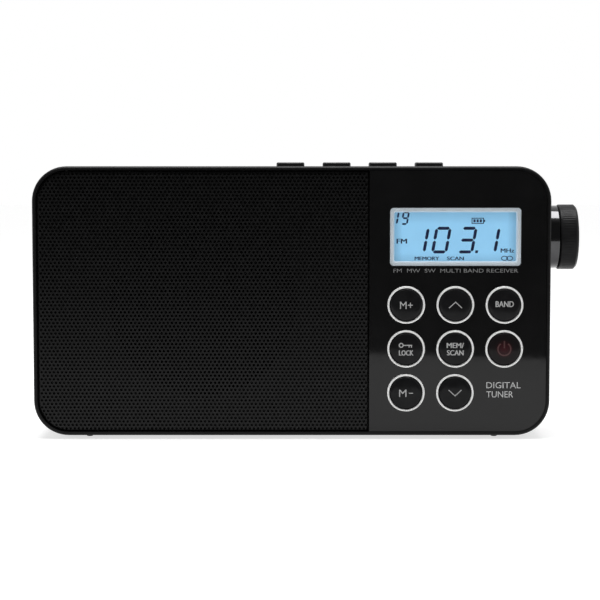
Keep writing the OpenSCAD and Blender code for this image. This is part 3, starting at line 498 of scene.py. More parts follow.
def banded(name, stops, pitch, axis, roughness, depth=0.05, **sockets):
    """Even bands across one axis, as wound wire, ribbon cable and wrapped cells show."""
    made = Finish(name, **sockets)
    wave = made.node("ShaderNodeTexWave", bands_direction=axis)
    set_inputs(wave, Scale=np.pi / 10 / (pitch * MM), Distortion=0.4, Detail_Scale=60)
    made.link(made.place, wave.inputs["Vector"])
    made.link(made.ramp(wave.outputs["Fac"], stops), made.shader.inputs["Base Color"])
    made.roughness(roughness, 0.06, made.noise(1.5))
    made.relief(depth, wave.outputs["Fac"])
    return made.material


def make_finishes(colours):
    """Makes every finish of the radio; each is found again by its name."""
    for special in (case_plastic, grille_metal, fascia_gloss, power_gloss, lcd_blue):
        special(colours)
    display_clear()
    board_green()

    # after the colour: roughness, grain in mm, contrast, spread of the roughness, relief in mm
    # display_border also glows a little: painted light that lifts the border where the window's walls
    # shade it
    grained("display_border", colours.border_grey, 0.4, 0.6, 0.04,
            Emission_Strength=0.28, Emission_Color=(0.8, 0.87, 0.92, 1))
    grained("light_guide", (0.8, 0.84, 0.86), 0.3, 1.0, 0.05)
    grained("ring_silver", colours.ring_silver, 0.3, 0.12, 0.06, 0.05, 0.003, Metallic=0.15)
    grained("foot_rubber", (0.012, 0.012, 0.012), 0.7, 0.3, 0.25, 0.08, 0.02)
    grained("switch_black", (0.015, 0.015, 0.016), 0.45, 0.3, 0.2)
    grained("cone_paper", (0.016, 0.016, 0.018), 0.85, 0.4, 0.35, 0.05, 0.05)
    grained("magnet_ferrite", (0.035, 0.035, 0.04), 0.6, 0.3, 0.2, 0.08, 0.02)
    grained("gasket_foam", (0.012, 0.012, 0.012), 0.95, 0.25, 0.4, 0.03, 0.1)
    grained("clip_plastic", (0.7, 0.68, 0.6), 0.4)
    grained("wire_red", (0.42, 0.03, 0.02), 0.35, 0.6)
    grained("knob_chrome", colours.collar_chrome, 0.08, 0.6, 0.08, 0.03, 0.001, Metallic=1.0)
    grained("knob_gloss", colours.knob_black, 0.34, 0.4, 0.2, 0.04, 0.002, IOR=1.16)
    grained("button_gloss", colours.button_black, 0.12, 0.5, 0.2, 0.03, 0.001, IOR=1.2)
    grained("key_plastic", colours.key_grey, 0.38, 0.25, 0.15, 0.05, 0.006)
    grained("antenna_chrome", (0.72, 0.73, 0.75), 0.1, 0.8, 0.05, 0.04, 0.001, Metallic=1.0)
    grained("print_red", colours.print_red, 0.4, 0.12, 0.15, 0.05, 0.002)
    grained("display_ink", colours.display_ink, 0.35, 0.3, 0.15, 0.05, 0.001)
    for name in ("print_white", "print_dim", "print_grey"):
        grained(name, getattr(colours, name), 0.5, 0.12, 0.08, 0.05, 0.002)

    # after the colour: roughness, and the stretch of the scratches, which run along the smallest
    brushed("shield_tin", (0.62, 0.63, 0.64), 0.35, (1, 1, 0.05))
    brushed("speaker_steel", (0.32, 0.33, 0.34), 0.4, (1, 0.05, 1))
    brushed("screw_steel", (0.42, 0.43, 0.44), 0.3, (1, 0.08, 1))
    brushed("control_metal", (0.55, 0.56, 0.58), 0.3, (0.06, 1, 1))
    brushed("contact_steel", (0.66, 0.67, 0.68), 0.25, (1, 1, 0.08))
    brushed("socket_brass", (0.6, 0.45, 0.18), 0.25, (1, 1, 0.08))

    # after the colours: pitch of the bands in mm, the axis they follow, roughness, relief in mm
    banded("capacitor_sleeve", [(0.2, (0.01, 0.02, 0.06)), (0.9, (0.03, 0.05, 0.12))],
           6.0, "X", 0.35, 0.01)
    banded("coil_copper", [(0.1, (0.18, 0.05, 0.015)), (0.8, (0.7, 0.3, 0.12))],
           0.35, "X", 0.3, 0.06, Metallic=0.8)
    banded("cell_wrap", [(0.35, (0.02, 0.14, 0.05)), (0.65, (0.06, 0.3, 0.12))], 30.0, "X", 0.25, 0.005)
    banded("ribbon_grey", [(0.1, (0.28, 0.28, 0.27)), (0.6, (0.6, 0.6, 0.57))], 1.27, "X", 0.5, 0.15)


# ---------------------------------------------------------------- settings


def colour_prop(name, description, default):
    """A colour setting."""
    return bpy.props.FloatVectorProperty(name=name, description=description, default=default,
                                         subtype="COLOR", size=3, min=0.0, max=1.0)


def number_prop(name, description, default, **kind):
    """A number, with a unit or subtype and limits where it has them."""
    return bpy.props.FloatProperty(name=name, description=description, default=default, **kind)


def length_prop(name, description, default):
    """A length in millimetres."""
    return number_prop(name, description, default, min=0.0, precision=3)


def place_prop(name, description, default):
    """A place or distance in metres."""
    return number_prop(name, description, default, unit="LENGTH")


class RadioSizes(bpy.types.PropertyGroup):
    """Sizes of the visible detail, in millimetres unless said otherwise."""

    hole_pitch: length_prop("Hole pitch", "Distance between neighbouring grille holes", 1.5)
    hole_radius: length_prop("Hole radius", "Radius of one grille hole", 0.5)
    grille_corner: length_prop("Grille corner", "Radius of the grille's left corners", 11.25)
    grille_roll: length_prop("Grille roll", "Radius of the grille's rolled edge", 0.9)
    print_thickness: length_prop("Print thickness", "How proud the printing stands", 0.012)
    digit_height: length_prop("Digit height", "Height of the large display digits", 9.8)
    digit_width: length_prop("Digit width", "Width of one large digit", 6.0)
    digit_stroke: length_prop("Digit stroke", "Width of one display segment", 1.12)
    digit_slant: number_prop("Digit slant", "Lean of the display digits", np.radians(10.0),
                             subtype="ANGLE")
    dome_share: number_prop("Dome share", "Part of a button's radius that is domed", 0.82,
                            min=0.5, max=0.97)
    knob_flutes: bpy.props.IntProperty(name="Knob flutes", description="Flutes round the volume knob",
                                       default=72, min=12, max=120)
    flute_depth: length_prop("Flute depth", "Depth of the knob's flutes", 0.06)
    key_round: length_prop("Key rounding", "Radius of the top keys' upper edges", 0.6)


class RadioColours(bpy.types.PropertyGroup):
    """Colours of the finishes."""

    case_black: colour_prop("Case", "Moulded case", (0.0035, 0.0035, 0.0037))
    grille_black: colour_prop("Grille", "Lacquered grille", (0.0026, 0.0026, 0.0027))
    fascia_black: colour_prop("Fascia", "Glossy control fascia", (0.004, 0.004, 0.0041))
    border_grey: colour_prop("Display border", "Border round the display", (0.62, 0.68, 0.73))
    display_blue: colour_prop("Display", "Light of the display", (0.272, 0.567, 0.82))
    display_ink: colour_prop("Display ink", "Segments of the display", (0.002, 0.01, 0.075))
    ring_silver: colour_prop("Rings", "Rings round the buttons", (0.86, 0.86, 0.85))
    button_black: colour_prop("Buttons", "Front buttons", (0.0085, 0.0085, 0.009))
    power_black: colour_prop("Power button", "Power button", (0.009, 0.0075, 0.0078))
    power_red: colour_prop("Power light", "Dim light behind the power sign", (0.04, 0.008, 0.011))
    key_grey: colour_prop("Top keys", "Keys on the top", (0.012, 0.012, 0.0125))
    collar_chrome: colour_prop("Knob collar", "Dark chrome collar of the knob", (0.068, 0.068, 0.07))
    knob_black: colour_prop("Knob cap", "Fluted cap of the knob", (0.011, 0.011, 0.0115))
    print_white: colour_prop("Printing", "Printed letters and signs", (0.5, 0.5, 0.5))
    print_dim: colour_prop("Button printing", "Signs on the front buttons", (0.42, 0.42, 0.42))
    print_grey: colour_prop("Small printing", "Printed line under the display", (0.17, 0.17, 0.17))
    print_red: colour_prop("Power sign", "Printed power sign", (0.055, 0.012, 0.012))


class RadioStudio(bpy.types.PropertyGroup):
    """The camera and the lights, in metres."""

    eye_distance: place_prop("Eye distance", "From the case front to the camera", 0.66)
    eye_height: place_prop("Eye height", "Height of the camera", 0.1003)
    look_height: place_prop("Look height", "Height that the camera looks at", 0.0514)
    look_side: place_prop("Look side", "Sideways place of the camera", -0.0027)
    lens: number_prop("Lens", "Focal length", 108.35, unit="CAMERA")
    softbox_light: number_prop("Softbox", "Power of the softbox above", 11.0, unit="POWER")
    softbox_width: place_prop("Softbox width", "Width of the softbox", 0.7)
    softbox_depth: place_prop("Softbox depth", "Depth of the softbox from front to back", 0.5)
    softbox_height: place_prop("Softbox height", "Height of the softbox above the floor", 0.9)
    floor_reach: place_prop("Lit floor", "Lit floor in front of the case", 0.311)
    ahead_light: number_prop("Light ahead", "Strength of the surroundings ahead of the case", 0.08)
    behind_light: number_prop("Light behind", "Strength of the surroundings behind the case", 0.9)


# ---------------------------------------------------------------- pieces


class RadioPart:
    """What every operator of the radio shares."""

    bl_options = {"REGISTER", "UNDO"}


class RADIO_OT_studio(RadioPart, bpy.types.Operator):
    """Camera, pale floor, white surroundings and one softbox"""

    bl_idname = "radio.studio"
    bl_label = "Studio"

    def execute(self, context):
        studio = context.scene.radio_studio
        context.scene.view_settings.view_transform = "Standard"
        front = low_high("front_shell")[0][1] * MM
        self.camera(context, studio, front)
        self.floor(context, front - studio.floor_reach)
        self.softbox(context, studio, front)
        self.surroundings(context, studio)
        return {"FINISHED"}

    def camera(self, context, studio, front):
        """The camera at the height of the case top, turned slightly down to the middle of the case."""
        data = bpy.data.cameras.new("camera")
        data.lens = studio.lens
        camera = bpy.data.objects.new("camera", data)
        context.scene.collection.objects.link(camera)
        camera.location = (studio.look_side, front - studio.eye_distance, studio.eye_height)
        aim = Vector((studio.look_side, front, studio.look_height)) - camera.location
        camera.rotation_euler = aim.to_track_quat("-Z", "Y").to_euler()
        context.scene.camera = camera

    def floor(self, context, dark_from):
        """A pale floor, and a dark card on it that only reflections see, from dark_from forwards; its
        edge runs a little closer on the knob's side."""
        pale = Finish("studio_floor", Roughness=0.9, Emission_Strength=0.67, Emission_Color=(1, 1, 1, 1))
        pale.tone((0.42, 0.42, 0.42), 0.01, pale.noise(60.0))
        dark = grained("studio_card", (0.07, 0.07, 0.07), 0.9, 20.0)
        reach, lift = 4.0, 0.0004
        nearer, knob_side = dark_from + 0.048, 0.16
        floor_edge = [(reach, reach), (-reach, reach)]
        card_edge = [(reach, nearer), (knob_side, nearer), (0.0, dark_from), (-reach, dark_from)]
        stage = {}
        for name, finish, edge, height in (("floor", pale.material, floor_edge, 0.0),
                                           ("dark_card", dark, card_edge, lift)):
            mesh = bpy.data.meshes.new(name)
            corners = [(x, y, height) for x, y in [(-reach, -reach), (reach, -reach), *edge]]
            mesh.from_pydata(corners, [], [tuple(range(len(corners)))])
            mesh.materials.append(finish)
            stage[name] = bpy.data.objects.new(name, mesh)
            context.scene.collection.objects.link(stage[name])
        for ray in ("visible_camera", "visible_diffuse", "visible_shadow"):
            setattr(stage["dark_card"], ray, False)

    def softbox(self, context, studio, front):
        """A wide softbox straight above the case, facing down."""
        light = bpy.data.lights.new("softbox", "AREA")
        light.shape = "RECTANGLE"
        light.size = studio.softbox_width
        light.size_y = studio.softbox_depth
        light.energy = studio.softbox_light
        box = bpy.data.objects.new("softbox", light)
        box.location = (0, front + 0.04, studio.softbox_height)
        box.visible_camera = False
        context.scene.collection.objects.link(box)

    def surroundings(self, context, studio):
        """White all round for the eye; for the lighting, bright above and behind the case, dim ahead."""
        world = bpy.data.worlds.new("studio")
        world.use_nodes = True
        context.scene.world = world
        nodes, links = world.node_tree.nodes, world.node_tree.links
        where, split, ahead, path, white, mix = (
            nodes.new("ShaderNode" + kind)
            for kind in ("TexCoord", "SeparateXYZ", "MapRange", "LightPath", "Background", "MixShader"))
        light = nodes["Background"]
        for background in (light, white):
            set_inputs(background, Color=(1, 1, 1, 1))
        ahead.interpolation_type = "SMOOTHSTEP"
        set_inputs(ahead, From_Min=-0.6, From_Max=0.0,
                   To_Min=studio.ahead_light, To_Max=studio.behind_light)
        for source, target in (
            (where.outputs["Generated"], split.inputs["Vector"]),
            (split.outputs["Y"], ahead.inputs["Value"]),
            (ahead.outputs["Result"], light.inputs["Strength"]),
            (path.outputs["Is Camera Ray"], mix.inputs["Fac"]),
            (light.outputs["Background"], mix.inputs[1]),
            (white.outputs["Background"], mix.inputs[2]),
            (mix.outputs["Shader"], nodes["World Output"].inputs["Surface"]),
        ):
            links.new(source, target)


class RADIO_OT_finishes(RadioPart, bpy.types.Operator):
    """Gives every part of the frame its finish"""

    bl_idname = "radio.finishes"
    bl_label = "Finishes"

    def execute(self, context):
        places = [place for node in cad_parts.values() for place in node.material_slots]
        packed = {place.material for place in places}
        for material in packed:
            material.name = "packed " + material.name.split(".")[0]
        make_finishes(context.scene.radio_colours)
        for place in places:
            place.material = bpy.data.materials[place.material.name.split()[1].split(".")[0]]
        for material in packed:
            bpy.data.materials.remove(material)
        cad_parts["display_window"].visible_shadow = False
        return {"FINISHED"}


class RADIO_OT_grille(RadioPart, bpy.types.Operator):
    """The perforated speaker grille with its rolled edge"""

    bl_idname = "radio.grille"
    bl_label = "Speaker grille"

    def execute(self, context):
        shape = self.sheet(context.scene.radio_sizes)
        make_piece("grille_sheet", shape, "grille_metal", "case", ["speaker_grille"], closed=False)
        return {"FINISHED"}

    def sheet(self, sizes):
        """Six-sided cells in rows, each with a hole where it lies clear of the edge: a cell is a ring of
        faces from its corners to the hole, and a wall down the hole. Corners outside the outline are
        drawn back onto it, and the surface near the outline falls away along a quarter circle."""
        low, high = low_high("speaker_grille")
        clearance, margin, least = 0.03, 0.25, 0.02
        depth = high[1] - low[1] - clearance
        corner, pitch, roll, sides = sizes.grille_corner, sizes.hole_pitch, sizes.grille_roll, 8
        row_step = pitch * np.sqrt(3) / 2
        across = np.arange(low[0] - pitch, high[0] + pitch, pitch)
        rows = np.arange(low[2] - pitch, high[2] + pitch, row_step)
        cx, cz = np.meshgrid(across, rows)
        cx = cx + (np.arange(len(rows)) % 2)[:, None] * pitch / 2
        centres = np.column_stack([cx.ravel(), cz.ravel()])

        def from_core(points):
            """The nearest point of the outline's core, and the way from it; the outline is round at its
            left corners and straight on its right."""
            core = np.clip(points, low[[0, 2]] + corner, (high[0] + corner, high[2] - corner))
            return core, points - core

        def inset(points):
            """How far inside the outline a point lies."""
            reach = np.linalg.norm(from_core(points)[1], axis=-1)
            return np.minimum(corner - reach, high[0] - points[..., 0])

        def drawn_in(points):
            """A point outside the outline, drawn back onto it."""
            core, away = from_core(points)
            reach = np.maximum(np.linalg.norm(away, axis=-1, keepdims=True), 1e-9)
            held = core + away * np.minimum(1, corner / reach)
            held[..., 0] = np.minimum(held[..., 0], high[0])
            return held

        turn = np.radians(np.arange(6) * 60 + 30)
        corners = centres[:, None, :] + circle(pitch / np.sqrt(3), turn)
        kept = inset(corners).max(axis=1) > least
        centres, corners = centres[kept], drawn_in(corners[kept])
        open_cell = inset(centres) > sizes.hole_radius + margin
        turn = np.radians(np.arange(sides) * 360 / sides + 30)
        rim = centres[open_cell][:, None, :] + circle(sizes.hole_radius, turn)

        def with_fall(points):
            """Adds the depth: flat inside, a quarter circle near the outline."""
            near = np.clip(1 - inset(points) / roll, 0, 1)
            fall = roll * (1 - np.sqrt(1 - near**2))
            return np.stack([points[..., 0], low[1] + fall, points[..., 1]], axis=-1)

        plain = with_fall(corners[~open_cell]).reshape(-1, 3)
        holed = with_fall(corners[open_cell])
        lip = with_fall(rim)
        pit = lip.copy()
        pit[..., 1] = low[1] + depth
        count = len(holed)
        points = np.concatenate([plain, holed.reshape(-1, 3), lip.reshape(-1, 3), pit.reshape(-1, 3)])
        hexes = np.arange(len(plain)).reshape(-1, 6)
        outer = len(plain) + np.arange(count * 6).reshape(-1, 6)
        inner = len(plain) + count * 6 + np.arange(count * sides).reshape(-1, sides)
        floor = inner + count * sides
        # eight rim points meet six corners, so two of the corners serve two rim steps each
        serves = np.floor(np.arange(sides) * 6 / sides + 0.5).astype(int) % 6
        faces = hexes.tolist()
        for i in range(sides):
            j = (i + 1) % sides
            served = outer[:, list(dict.fromkeys((serves[i], serves[j])))]
            faces += np.column_stack([served, inner[:, j], inner[:, i]]).tolist()
            faces += np.column_stack([inner[:, i], inner[:, j], floor[:, j], floor[:, i]]).tolist()
        skirt = self.skirt(low, high, corner, roll, depth)
        return joined([(points, faces), skirt])

    def skirt(self, low, high, corner, roll, depth):
        """The side wall below the rolled edge, down to the case."""
        turn = np.linspace(0, np.pi / 2, 40)
        left, top, bottom = low[0] + corner, high[2] - corner, low[2] + corner
        upper = np.column_stack([left - corner * np.sin(turn), top + corner * np.cos(turn)])
        lower = np.column_stack([left - corner * np.cos(turn), bottom - corner * np.sin(turn)])
        edge = np.concatenate([[[high[0], high[2]]], upper, lower, [[high[0], low[2]]]])
        rings = [np.insert(edge, 1, low[1] + y, axis=1) for y in (roll, depth)]
        return grid(np.stack(rings))


class RADIO_OT_fascia_prints(RadioPart, bpy.types.Operator):
    """The lettering printed on the control fascia"""

    bl_idname = "radio.fascia_prints"
    bl_label = "Fascia printing"

    def execute(self, context):
        front = low_high("control_fascia")[0][1]
        thin = context.scene.radio_sizes.print_thickness
        display = middle("display_window")
        corner = middle("button_tune_down")
        column = middle("button_power")[0]
        words = [
            ("FM  MW  SW  MULTI BAND RECEIVER", 1.4, 45.7, (display[0] + 0.1, display[2] - 12.35),
             "print_grey"),
            ("DIGITAL", 2.3, 12.6, (column - 0.1, corner[2] + 2.75), "print_white"),
            ("TUNER", 2.3, 9.9, (column - 1.45, corner[2] - 0.65), "print_white"),
        ]
        for text, height, width, (x, z), ink in words:
            shape = stood(lettering(text, height, width, 0, thin), (x, front, z), FACING_FRONT)
            make_piece("fascia_print_" + text.split()[0].lower(), shape, ink, "case")
        return {"FINISHED"}


class RADIO_OT_display(RadioPart, bpy.types.Operator):
    """The segments, words and signs on the lit display"""

    bl_idname = "radio.display"
    bl_label = "Display"

    # the bars of a digit, between the corners and middles of its box, as shares of its width and height
    SEGMENTS = {"a": ((0, 1), (1, 1)), "b": ((1, 1), (1, 0.5)), "c": ((1, 0.5), (1, 0)),
                "d": ((0, 0), (1, 0)), "e": ((0, 0), (0, 0.5)), "f": ((0, 0.5), (0, 1)),
                "g": ((0, 0.5), (1, 0.5))}
    LIT = {"0": "abcdef", "1": "bc", "3": "abcdg", "9": "abcdfg"}

    def execute(self, context):
        sizes = context.scene.radio_sizes
        face = low_high("lcd_panel")[0][1]
        centre = middle("display_window")
        self.thin = 0.05
        self.slant = np.tan(sizes.digit_slant)
        large = sizes.digit_width, sizes.digit_height, sizes.digit_stroke
        small = 2.6, 4.95, 0.68
        # each row of figures: how large, its foot, and every figure with its place across
        rows = ((large, -6.18, (("1", -16.92), ("0", -8.87), ("3", 0.64), ("1", 9.12))),
                (small, 4.3, (("1", -23.8), ("9", -20.05))))
        shapes = [moved(self.digit(figure, *size), x, foot)
                  for size, foot, row in rows for figure, x in row]
        shapes.append(moved(self.dot(sizes.digit_stroke), 7.96, -5.55))
        shapes += self.words() + self.signs()
        ink = stood(joined(shapes), (centre[0], face, centre[2]), FACING_FRONT)
        make_piece("display_segments", ink, "display_ink", "case")
        make_piece("display_bezel", self.bezel(), "display_border", "case", ["display_frame"])
        return {"FINISHED"}

    def bezel(self):
        """The light frame of the display: flat at the front, sloping in to the lit panel."""
        low, high = low_high("display_frame")
        x, _, z = (low + high) / 2
        width, height = high[0] - low[0], high[2] - low[2]
        border, slope, corner = 1.6, 0.35, 1.3
        front, back = low[1] + 0.02, high[1]
        profile = [(0, back), (0, front), (border - slope, front), (border, low[1] + 0.6), (border, back),
                   (0, back)]
        rings = []
        for inset, y in profile:
            ring = outline(width - 2 * inset, height - 2 * inset, corner - inset / 2)
            rings.append(np.insert(ring, 1, y, axis=1))
        return moved(grid(np.stack(rings)), x, 0, z)

    def digit(self, figure, width, height, stroke):
        """The lit bars of one figure, leaning to the right; its origin is the foot of its box."""
        gap = 0.12 * stroke
        inner = np.array([width - stroke, height - stroke])
        bars = []
        for name in self.LIT[figure]:
            start, stop = (np.array(end) * inner + stroke / 2 for end in self.SEGMENTS[name])
            step = (stop - start) / np.linalg.norm(stop - start) * gap
            bars.append(bar(start + step, stop - step, stroke, self.thin))
        points, faces = joined(bars)
        points[:, 0] += points[:, 1] * self.slant
        return points, faces

    def dot(self, stroke):
        """The decimal point, a small leaning square."""
        half = stroke * 0.45
        square = np.array([(-half, -half), (half, -half), (half, half), (-half, half)])
        square[:, 0] += square[:, 1] * self.slant
        return prism(square, self.thin)

    def words(self):
        """The small words of the display."""
        words = [("FM", 1.75, 3.7, -19.55, -1.67, 0.22), ("MEMORY", 1.3, 8.9, -10.3, -8.0, 0.16),
                 ("SCAN", 1.3, 6.1, 0.2, -8.0, 0.16), ("MHz", 1.5, 4.9, 19.3, -5.1, 0.16)]
        return [moved(lettering(text, height, width, weight, self.thin), x, z)
                for text, height, width, x, z, weight in words]

    def signs(self):
        """A battery with its charge, and two linked rings for stereo."""
        battery = ribbon([(-2.3, -0.95), (1.9, -0.95), (1.9, 0.95), (-2.3, 0.95)], 0.3, self.thin, True)
        tip = prism([(2.05, -0.4), (2.5, -0.4), (2.5, 0.4), (2.05, 0.4)], self.thin)
        charge = [prism([(x, -0.55), (x + 0.8, -0.55), (x + 0.8, 0.55), (x, 0.55)], self.thin)
                  for x in (-1.8, -0.65, 0.5)]
        rings = [moved(ribbon(arc(0.75, 0, 360, 25)[:-1] * (1.5, 1), 0.28, self.thin, True), x, 0)
                 for x in (-0.95, 0.95)]
        return ([moved(s, 8.5, 5.8) for s in [battery, tip, *charge]]
                + [moved(s, 19.2, -7.95) for s in rings])


class RADIO_OT_button_rings(RadioPart, bpy.types.Operator):
    """The silver rings round the front buttons"""

    bl_idname = "radio.button_rings"
    bl_label = "Button rings"

    def execute(self, context):
        low, high = low_high("button_rings")
        outer, wall, edge = 6.9, 0.75, 0.3
        inner = outer - wall
        profile = rounded([(outer, high[1]), (outer, low[1]), (inner, low[1]), (inner, high[1])],
                          (edge, edge), 5)
        profile = np.concatenate([profile, profile[:1]])
        rings = [revolved(profile, middle("button_" + button) * (1, 0, 1), 1, 72)
                 for button in FRONT_BUTTONS]
        make_piece("button_ring_set", joined(rings), "ring_silver", "case", ["button_rings"])
        return {"FINISHED"}


class RADIO_OT_front_buttons(RadioPart, bpy.types.Operator):
    """The domed front buttons, each with its printed sign"""

    bl_idname = "radio.front_buttons"
    bl_label = "Front buttons"

    def execute(self, context):
        sizes = context.scene.radio_sizes
        self.thin = 4 * sizes.print_thickness
        wall_back = low_high("button_rings")[1][1]
        for button in FRONT_BUTTONS:
            node = "button_" + button
            low, high = low_high(node)
            x, _, z = (low + high) / 2
            apex = low[1] + 1.5 * self.thin
            profile, dome = self.profile(sizes, apex, wall_back + 0.3, high[1])
            lit = button == "power"
            gloss, ink = ("power_gloss", "print_red") if lit else ("button_gloss", "print_dim")
            make_piece("cap_" + button, revolved(profile, (x, 0, z), 1, 72), gloss, node, [node])
            points, faces = joined(self.sign(button))
            points[:, 2] -= dome - np.sqrt(dome**2 - points[:, 0]**2 - points[:, 1]**2)
            make_piece("sign_" + button, stood((points, faces), (x, apex, z), FACING_FRONT), ink, node)
        return {"FINISHED"}

    def profile(self, sizes, apex, flange, end):
        """A shallow sphere, a tight round edge that carries its slope on to the vertical, a skirt, a
        flange and a stem. Returns the profile and the sphere's radius."""
        cap, dome_high = 6.05, 0.3
        dome = (cap**2 + dome_high**2) / (2 * dome_high)
        edge = cap * sizes.dome_share
        tilt = np.arcsin(edge / dome)
        reach = np.linspace(0, edge, 8)
        sphere = np.column_stack([reach, apex + dome - np.sqrt(dome**2 - reach**2)])
        bend = (cap - edge) / (1 - np.sin(tilt))
        turn = np.linspace(tilt, np.pi / 2, 9)[1:]
        centre = (edge - bend * np.sin(tilt), sphere[-1, 1] + bend * np.cos(tilt))
        rim = np.column_stack([centre[0] + bend * np.sin(turn), centre[1] - bend * np.cos(turn)])
        flange_r, stem_r, thick = 7.4, 1.75, 1.0
        back = [(cap, flange), (flange_r, flange), (flange_r, flange + thick), (stem_r, flange + thick),
                (stem_r, end), (0, end)]
        return np.concatenate([sphere, rim, back]), dome

    def sign(self, button):
        """The printed sign of one button."""
        thin, words, line = self.thin, 1.9, 0.3
        chevron = np.array([(-2.35, -1.1), (0, 1.1), (2.35, -1.1)])
        if button.startswith("tune"):
            side = 1 if button == "tune_up" else -1
            return [ribbon(even_steps(chevron * (1, side)), line, thin)]
        if button == "memory_up":
            return [moved(lettering("M+", 2.7, 4.7, 0.0, thin), 0, -0.1)]
        if button == "memory_down":
            return [moved(lettering("M", 2.7, 2.7, 0.0, thin), -1.2, -0.1),
                    moved(ribbon(even_steps([(-0.8, 0), (0.8, 0)]), line, thin), 1.8, -0.1)]
        if button == "band":
            return [moved(lettering("BAND", 2.1, 6.6, 0.12, thin), 0, 0.35)]
        if button == "scan":
            return [moved(lettering("MEM/", words, 6.2, 0.16, thin), 0, 1.35),
                    moved(lettering("SCAN", words, 6.0, 0.16, thin), 0, -1.35)]
        if button == "lock":
            return [moved(lettering("LOCK", words, 5.2, 0.16, thin), 0, -1.4), *self.key()]
        return self.power()

    def key(self):
        """A small key: a ring for its bow, a shank and two teeth."""
        thin = self.thin
        bow = ribbon(arc(0.72, 0, 360, 21)[:-1], 0.36, thin, True)
        shank = ribbon(even_steps([(0.85, 0), (4.0, 0)]), 0.34, thin)
        teeth = [ribbon([(x, -0.1), (x, -0.85)], 0.34, thin) for x in (2.9, 3.75)]
        return [moved(s, -1.85, 1.4) for s in (bow, shank, *teeth)]

    def power(self):
        """The usual power sign: a ring open at the top, with a bar through the gap."""
        ring = ribbon(arc(2.35, 125, 415, 40), 0.5, self.thin)
        return [ring, ribbon(even_steps([(0, 0.3), (0, 3.0)]), 0.5, self.thin)]


class RADIO_OT_top_keys(RadioPart, bpy.types.Operator):
    """The four keys on the top of the case"""

    bl_idname = "radio.top_keys"
    bl_label = "Top keys"

    def execute(self, context):
        wide, long, corner, flange, thick, stem_r = 10.4, 6.0, 1.2, 0.8, 1.0, 1.75
        edge, edge_reach = context.scene.radio_sizes.key_round, 2.9
        for number in range(1, TOP_KEYS + 1):
            node = f"top_key_{number}"
            low, high = low_high(node)
            x, y, _ = (low + high) / 2
            foot = low[2] + 0.4
            top = rounded([(0, foot + thick), (0, high[2]), (edge_reach, high[2])], (edge,), 6)
            shapes = [
                block(wide, long, corner, top),
                block(wide + 2 * flange, long + 2 * flange, corner, [(0, foot), (0, foot + thick)]),
                block(2 * stem_r, 2 * stem_r, stem_r - 0.01, [(0, low[2]), (0, foot)]),
            ]
            make_piece(f"key_{number}", moved(joined(shapes), x, y), "key_plastic", node, [node])
        return {"FINISHED"}


class RADIO_OT_knob(RadioPart, bpy.types.Operator):
    """The volume knob: a fluted cap and a polished collar"""

    bl_idname = "radio.knob"
    bl_label = "Volume knob"

    def execute(self, context):
        sizes = context.scene.radio_sizes
        low, high = low_high("knob_cap")
        collar_low, collar_high = low_high("knob_collar")
        _, y, z = (low + high) / 2
        radius = (high[2] - low[2]) / 2
        start, stop = low[0], high[0]
        lead, chamfer, bore, hub, shaft, skin = 0.35, 0.9, 7.95, 5.0, 3.0, 2.0
        dish, rows = 0.35, 9
        grip = radius - 0.05
        side = rounded([(radius - lead, start), (grip, start + lead), (grip, start + 2 * lead)],
                       (0.3,), 5)
        fluted = np.column_stack([np.full(rows, grip),
                                  np.linspace(start + 2 * lead + 0.1, stop - chamfer - 0.3, rows)])
        crown = rounded([(grip, stop - chamfer - 0.1), (radius, stop - chamfer), (radius - chamfer, stop),
                         (radius - 2.2, stop), (radius - 2.6, stop - dish), (0, stop - dish)],
                        (0.15, 0.3, 0.2, 0.2), 5)
        inside = [(0, stop - skin), (shaft, stop - skin), (shaft, start), (hub, start),
                  (hub, stop - 2 * skin), (bore, stop - 2 * skin), (bore, start), (radius - lead, start)]
        profile = np.concatenate([side, fluted, crown, inside])
        flutes, depth = sizes.knob_flutes, sizes.flute_depth
        first, last = fluted[0, 1], fluted[-1, 1]

        def flute(turn, row_radius, along):
            """Each flute is a round valley; it fades out at both ends and leaves the inside alone."""
            ends = np.clip(np.minimum(along - first, last - along) / 0.4 + 0.15, 0, 1)
            outside = row_radius > bore + 2
            return depth * ends * outside * (0.5 + 0.5 * np.cos(flutes * turn)) ** 1.5

        cap = revolved(profile, (0, y, z), 0, flutes * 6, flute)
        make_piece("knob_cap_fluted", cap, "knob_gloss", "volume_knob", ["knob_cap"])
        radius = (collar_high[2] - collar_low[2]) / 2
        start, stop = collar_low[0], collar_high[0]
        waist = rounded([(radius - 0.5, start), (radius, start + 0.5), (radius, stop - 0.4),
                         (radius - 0.4, stop)], (0.3, 0.2), 6)
        ring = np.concatenate([waist, [(bore, stop), (bore, start)], waist[:1]])
        collar = revolved(ring, (0, y, z), 0, 128)
        make_piece("knob_collar_polished", collar, "knob_chrome", "volume_knob", ["knob_collar"])
        return {"FINISHED"}


class RADIO_OT_feet(RadioPart, bpy.types.Operator):
    """The two rubber foot strips with rounded edges"""

    bl_idname = "radio.feet"
    bl_label = "Foot strips"

    def execute(self, context):
        low, high = low_high("foot_strips")
        width, length, edge = 2.4, high[1] - low[1], 0.4
        side = rounded([(0, high[2]), (0, low[2]), (1.0, low[2])], (edge,), 5)
        y = (low[1] + high[1]) / 2
        strips = [moved(block(width, length, width / 2 - 0.01, side), x, y)
                  for x in (low[0] + width / 2, high[0] - width / 2)]
        make_piece("foot_pair", joined(strips), "foot_rubber", "case", ["foot_strips"])
        return {"FINISHED"}


